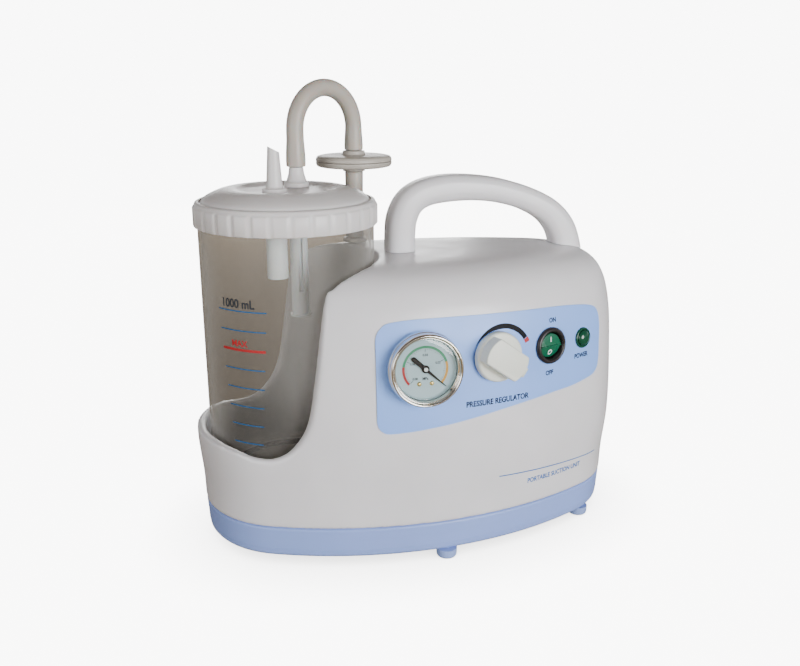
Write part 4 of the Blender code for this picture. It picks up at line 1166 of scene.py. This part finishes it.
def seen_directly(nodes):
    """1 on what is looked at with nothing in front of it, and 0 in reflections, through
    clear plastic and in the light that falls on the object."""
    path = nodes.node("ShaderNodeLightPath")
    clear = nodes.node("ShaderNodeMath", {1: 0.5}, operation="LESS_THAN")
    nodes.link(path.outputs["Transparent Depth"], clear.inputs[0])
    both = nodes.node("ShaderNodeMath", operation="MULTIPLY")
    nodes.link(path.outputs["Is Camera Ray"], both.inputs[0])
    nodes.link(clear.outputs["Value"], both.inputs[1])
    return both.outputs["Value"]


def make_floor():
    bm = bmesh.new()
    bmesh.ops.create_circle(bm, cap_ends=True, segments=96, radius=30)
    mesh = mesh_of("floor", bm)
    s = Shader("floor_paper")
    s.link(s.mixed(s.spread(s.noise(600, 2.0), 0, 1), (0.255, 0.195, 0.12), (0.275, 0.21, 0.135)),
           s.main.inputs["Base Color"])
    s.set(Roughness=0.9, Specular_IOR_Level=0.2, Emission_Color=(1, 1, 1, 1))
    # Ambient occlusion dims the floor's glow close to the object: a painted contact shadow under
    # it.
    painted_contact_shadow = s.node("ShaderNodeAmbientOcclusion", {"Distance": 0.05}, samples=8)
    glow_with_painted_shadow = s.node("ShaderNodeMath", operation="MULTIPLY")
    s.link(s.spread(painted_contact_shadow.outputs["AO"], PALE * 0.25, PALE, 0, 1), glow_with_painted_shadow.inputs[0])
    s.link(seen_directly(s), glow_with_painted_shadow.inputs[1])
    s.link(glow_with_painted_shadow.outputs["Value"], s.main.inputs["Emission Strength"])
    mesh.materials.append(s.material)
    linked("floor", mesh)


def make_world():
    """A soft room, darker and warmer overhead, that looks as pale as the floor."""
    world = bpy.data.worlds.new("studio")
    world.use_nodes = True
    bpy.context.scene.world = world
    w = Nodes(world.node_tree)
    room = w.tree.nodes["Background"]
    split = w.node("ShaderNodeSeparateXYZ")
    ramp = w.node("ShaderNodeValToRGB")
    w.link(w.node("ShaderNodeTexCoord").outputs["Generated"], split.inputs["Vector"])
    w.link(split.outputs["Z"], ramp.inputs["Fac"])
    w.link(ramp.outputs["Color"], room.inputs["Color"])
    for stop, (position, colour) in zip(ramp.color_ramp.elements, ROOM_COLOURS):
        stop.position = position
        stop.color = (*colour, 1)
    room.inputs["Strength"].default_value = 1.0
    pale = w.node("ShaderNodeBackground", {"Color": (1, 1, 1, 1), "Strength": PALE})
    mix = w.node("ShaderNodeMixShader")
    w.link(seen_directly(w), mix.inputs["Fac"])
    w.link(room.outputs["Background"], mix.inputs[1])
    w.link(pale.outputs["Background"], mix.inputs[2])
    w.link(mix.outputs["Shader"], w.tree.nodes["World Output"].inputs["Surface"])


def make_light(name, at, power, colour=(1, 1, 1)):
    lamp = bpy.data.lights.new(name, "AREA")
    lamp.shape = "DISK"
    lamp.size = LIGHT_SIZE
    lamp.energy = power
    lamp.color = colour
    obj = linked(name, lamp)
    obj.location = at
    obj.rotation_euler = (Vector(LIGHT_AIM) - Vector(at)).to_track_quat("-Z", "Y").to_euler()


def make_camera():
    camera = bpy.data.cameras.new("camera")
    camera.lens = 38.5
    camera.sensor_width = 36
    obj = linked("camera", camera)
    obj.location = (-0.1560, -0.5138, 0.2866)
    obj.rotation_euler = (math.radians(73.4), 0, math.radians(-16.07))
    bpy.context.scene.camera = obj


make_floor()
make_world()
make_light("key", (0.6, -1.4, 0.35), 31, (0.96, 0.98, 1.0))
make_light("fill", (-1.2, -0.9, 0.4), 9)
make_light("rear", (0.2, 1.5, 0.35), 9)
make_camera()
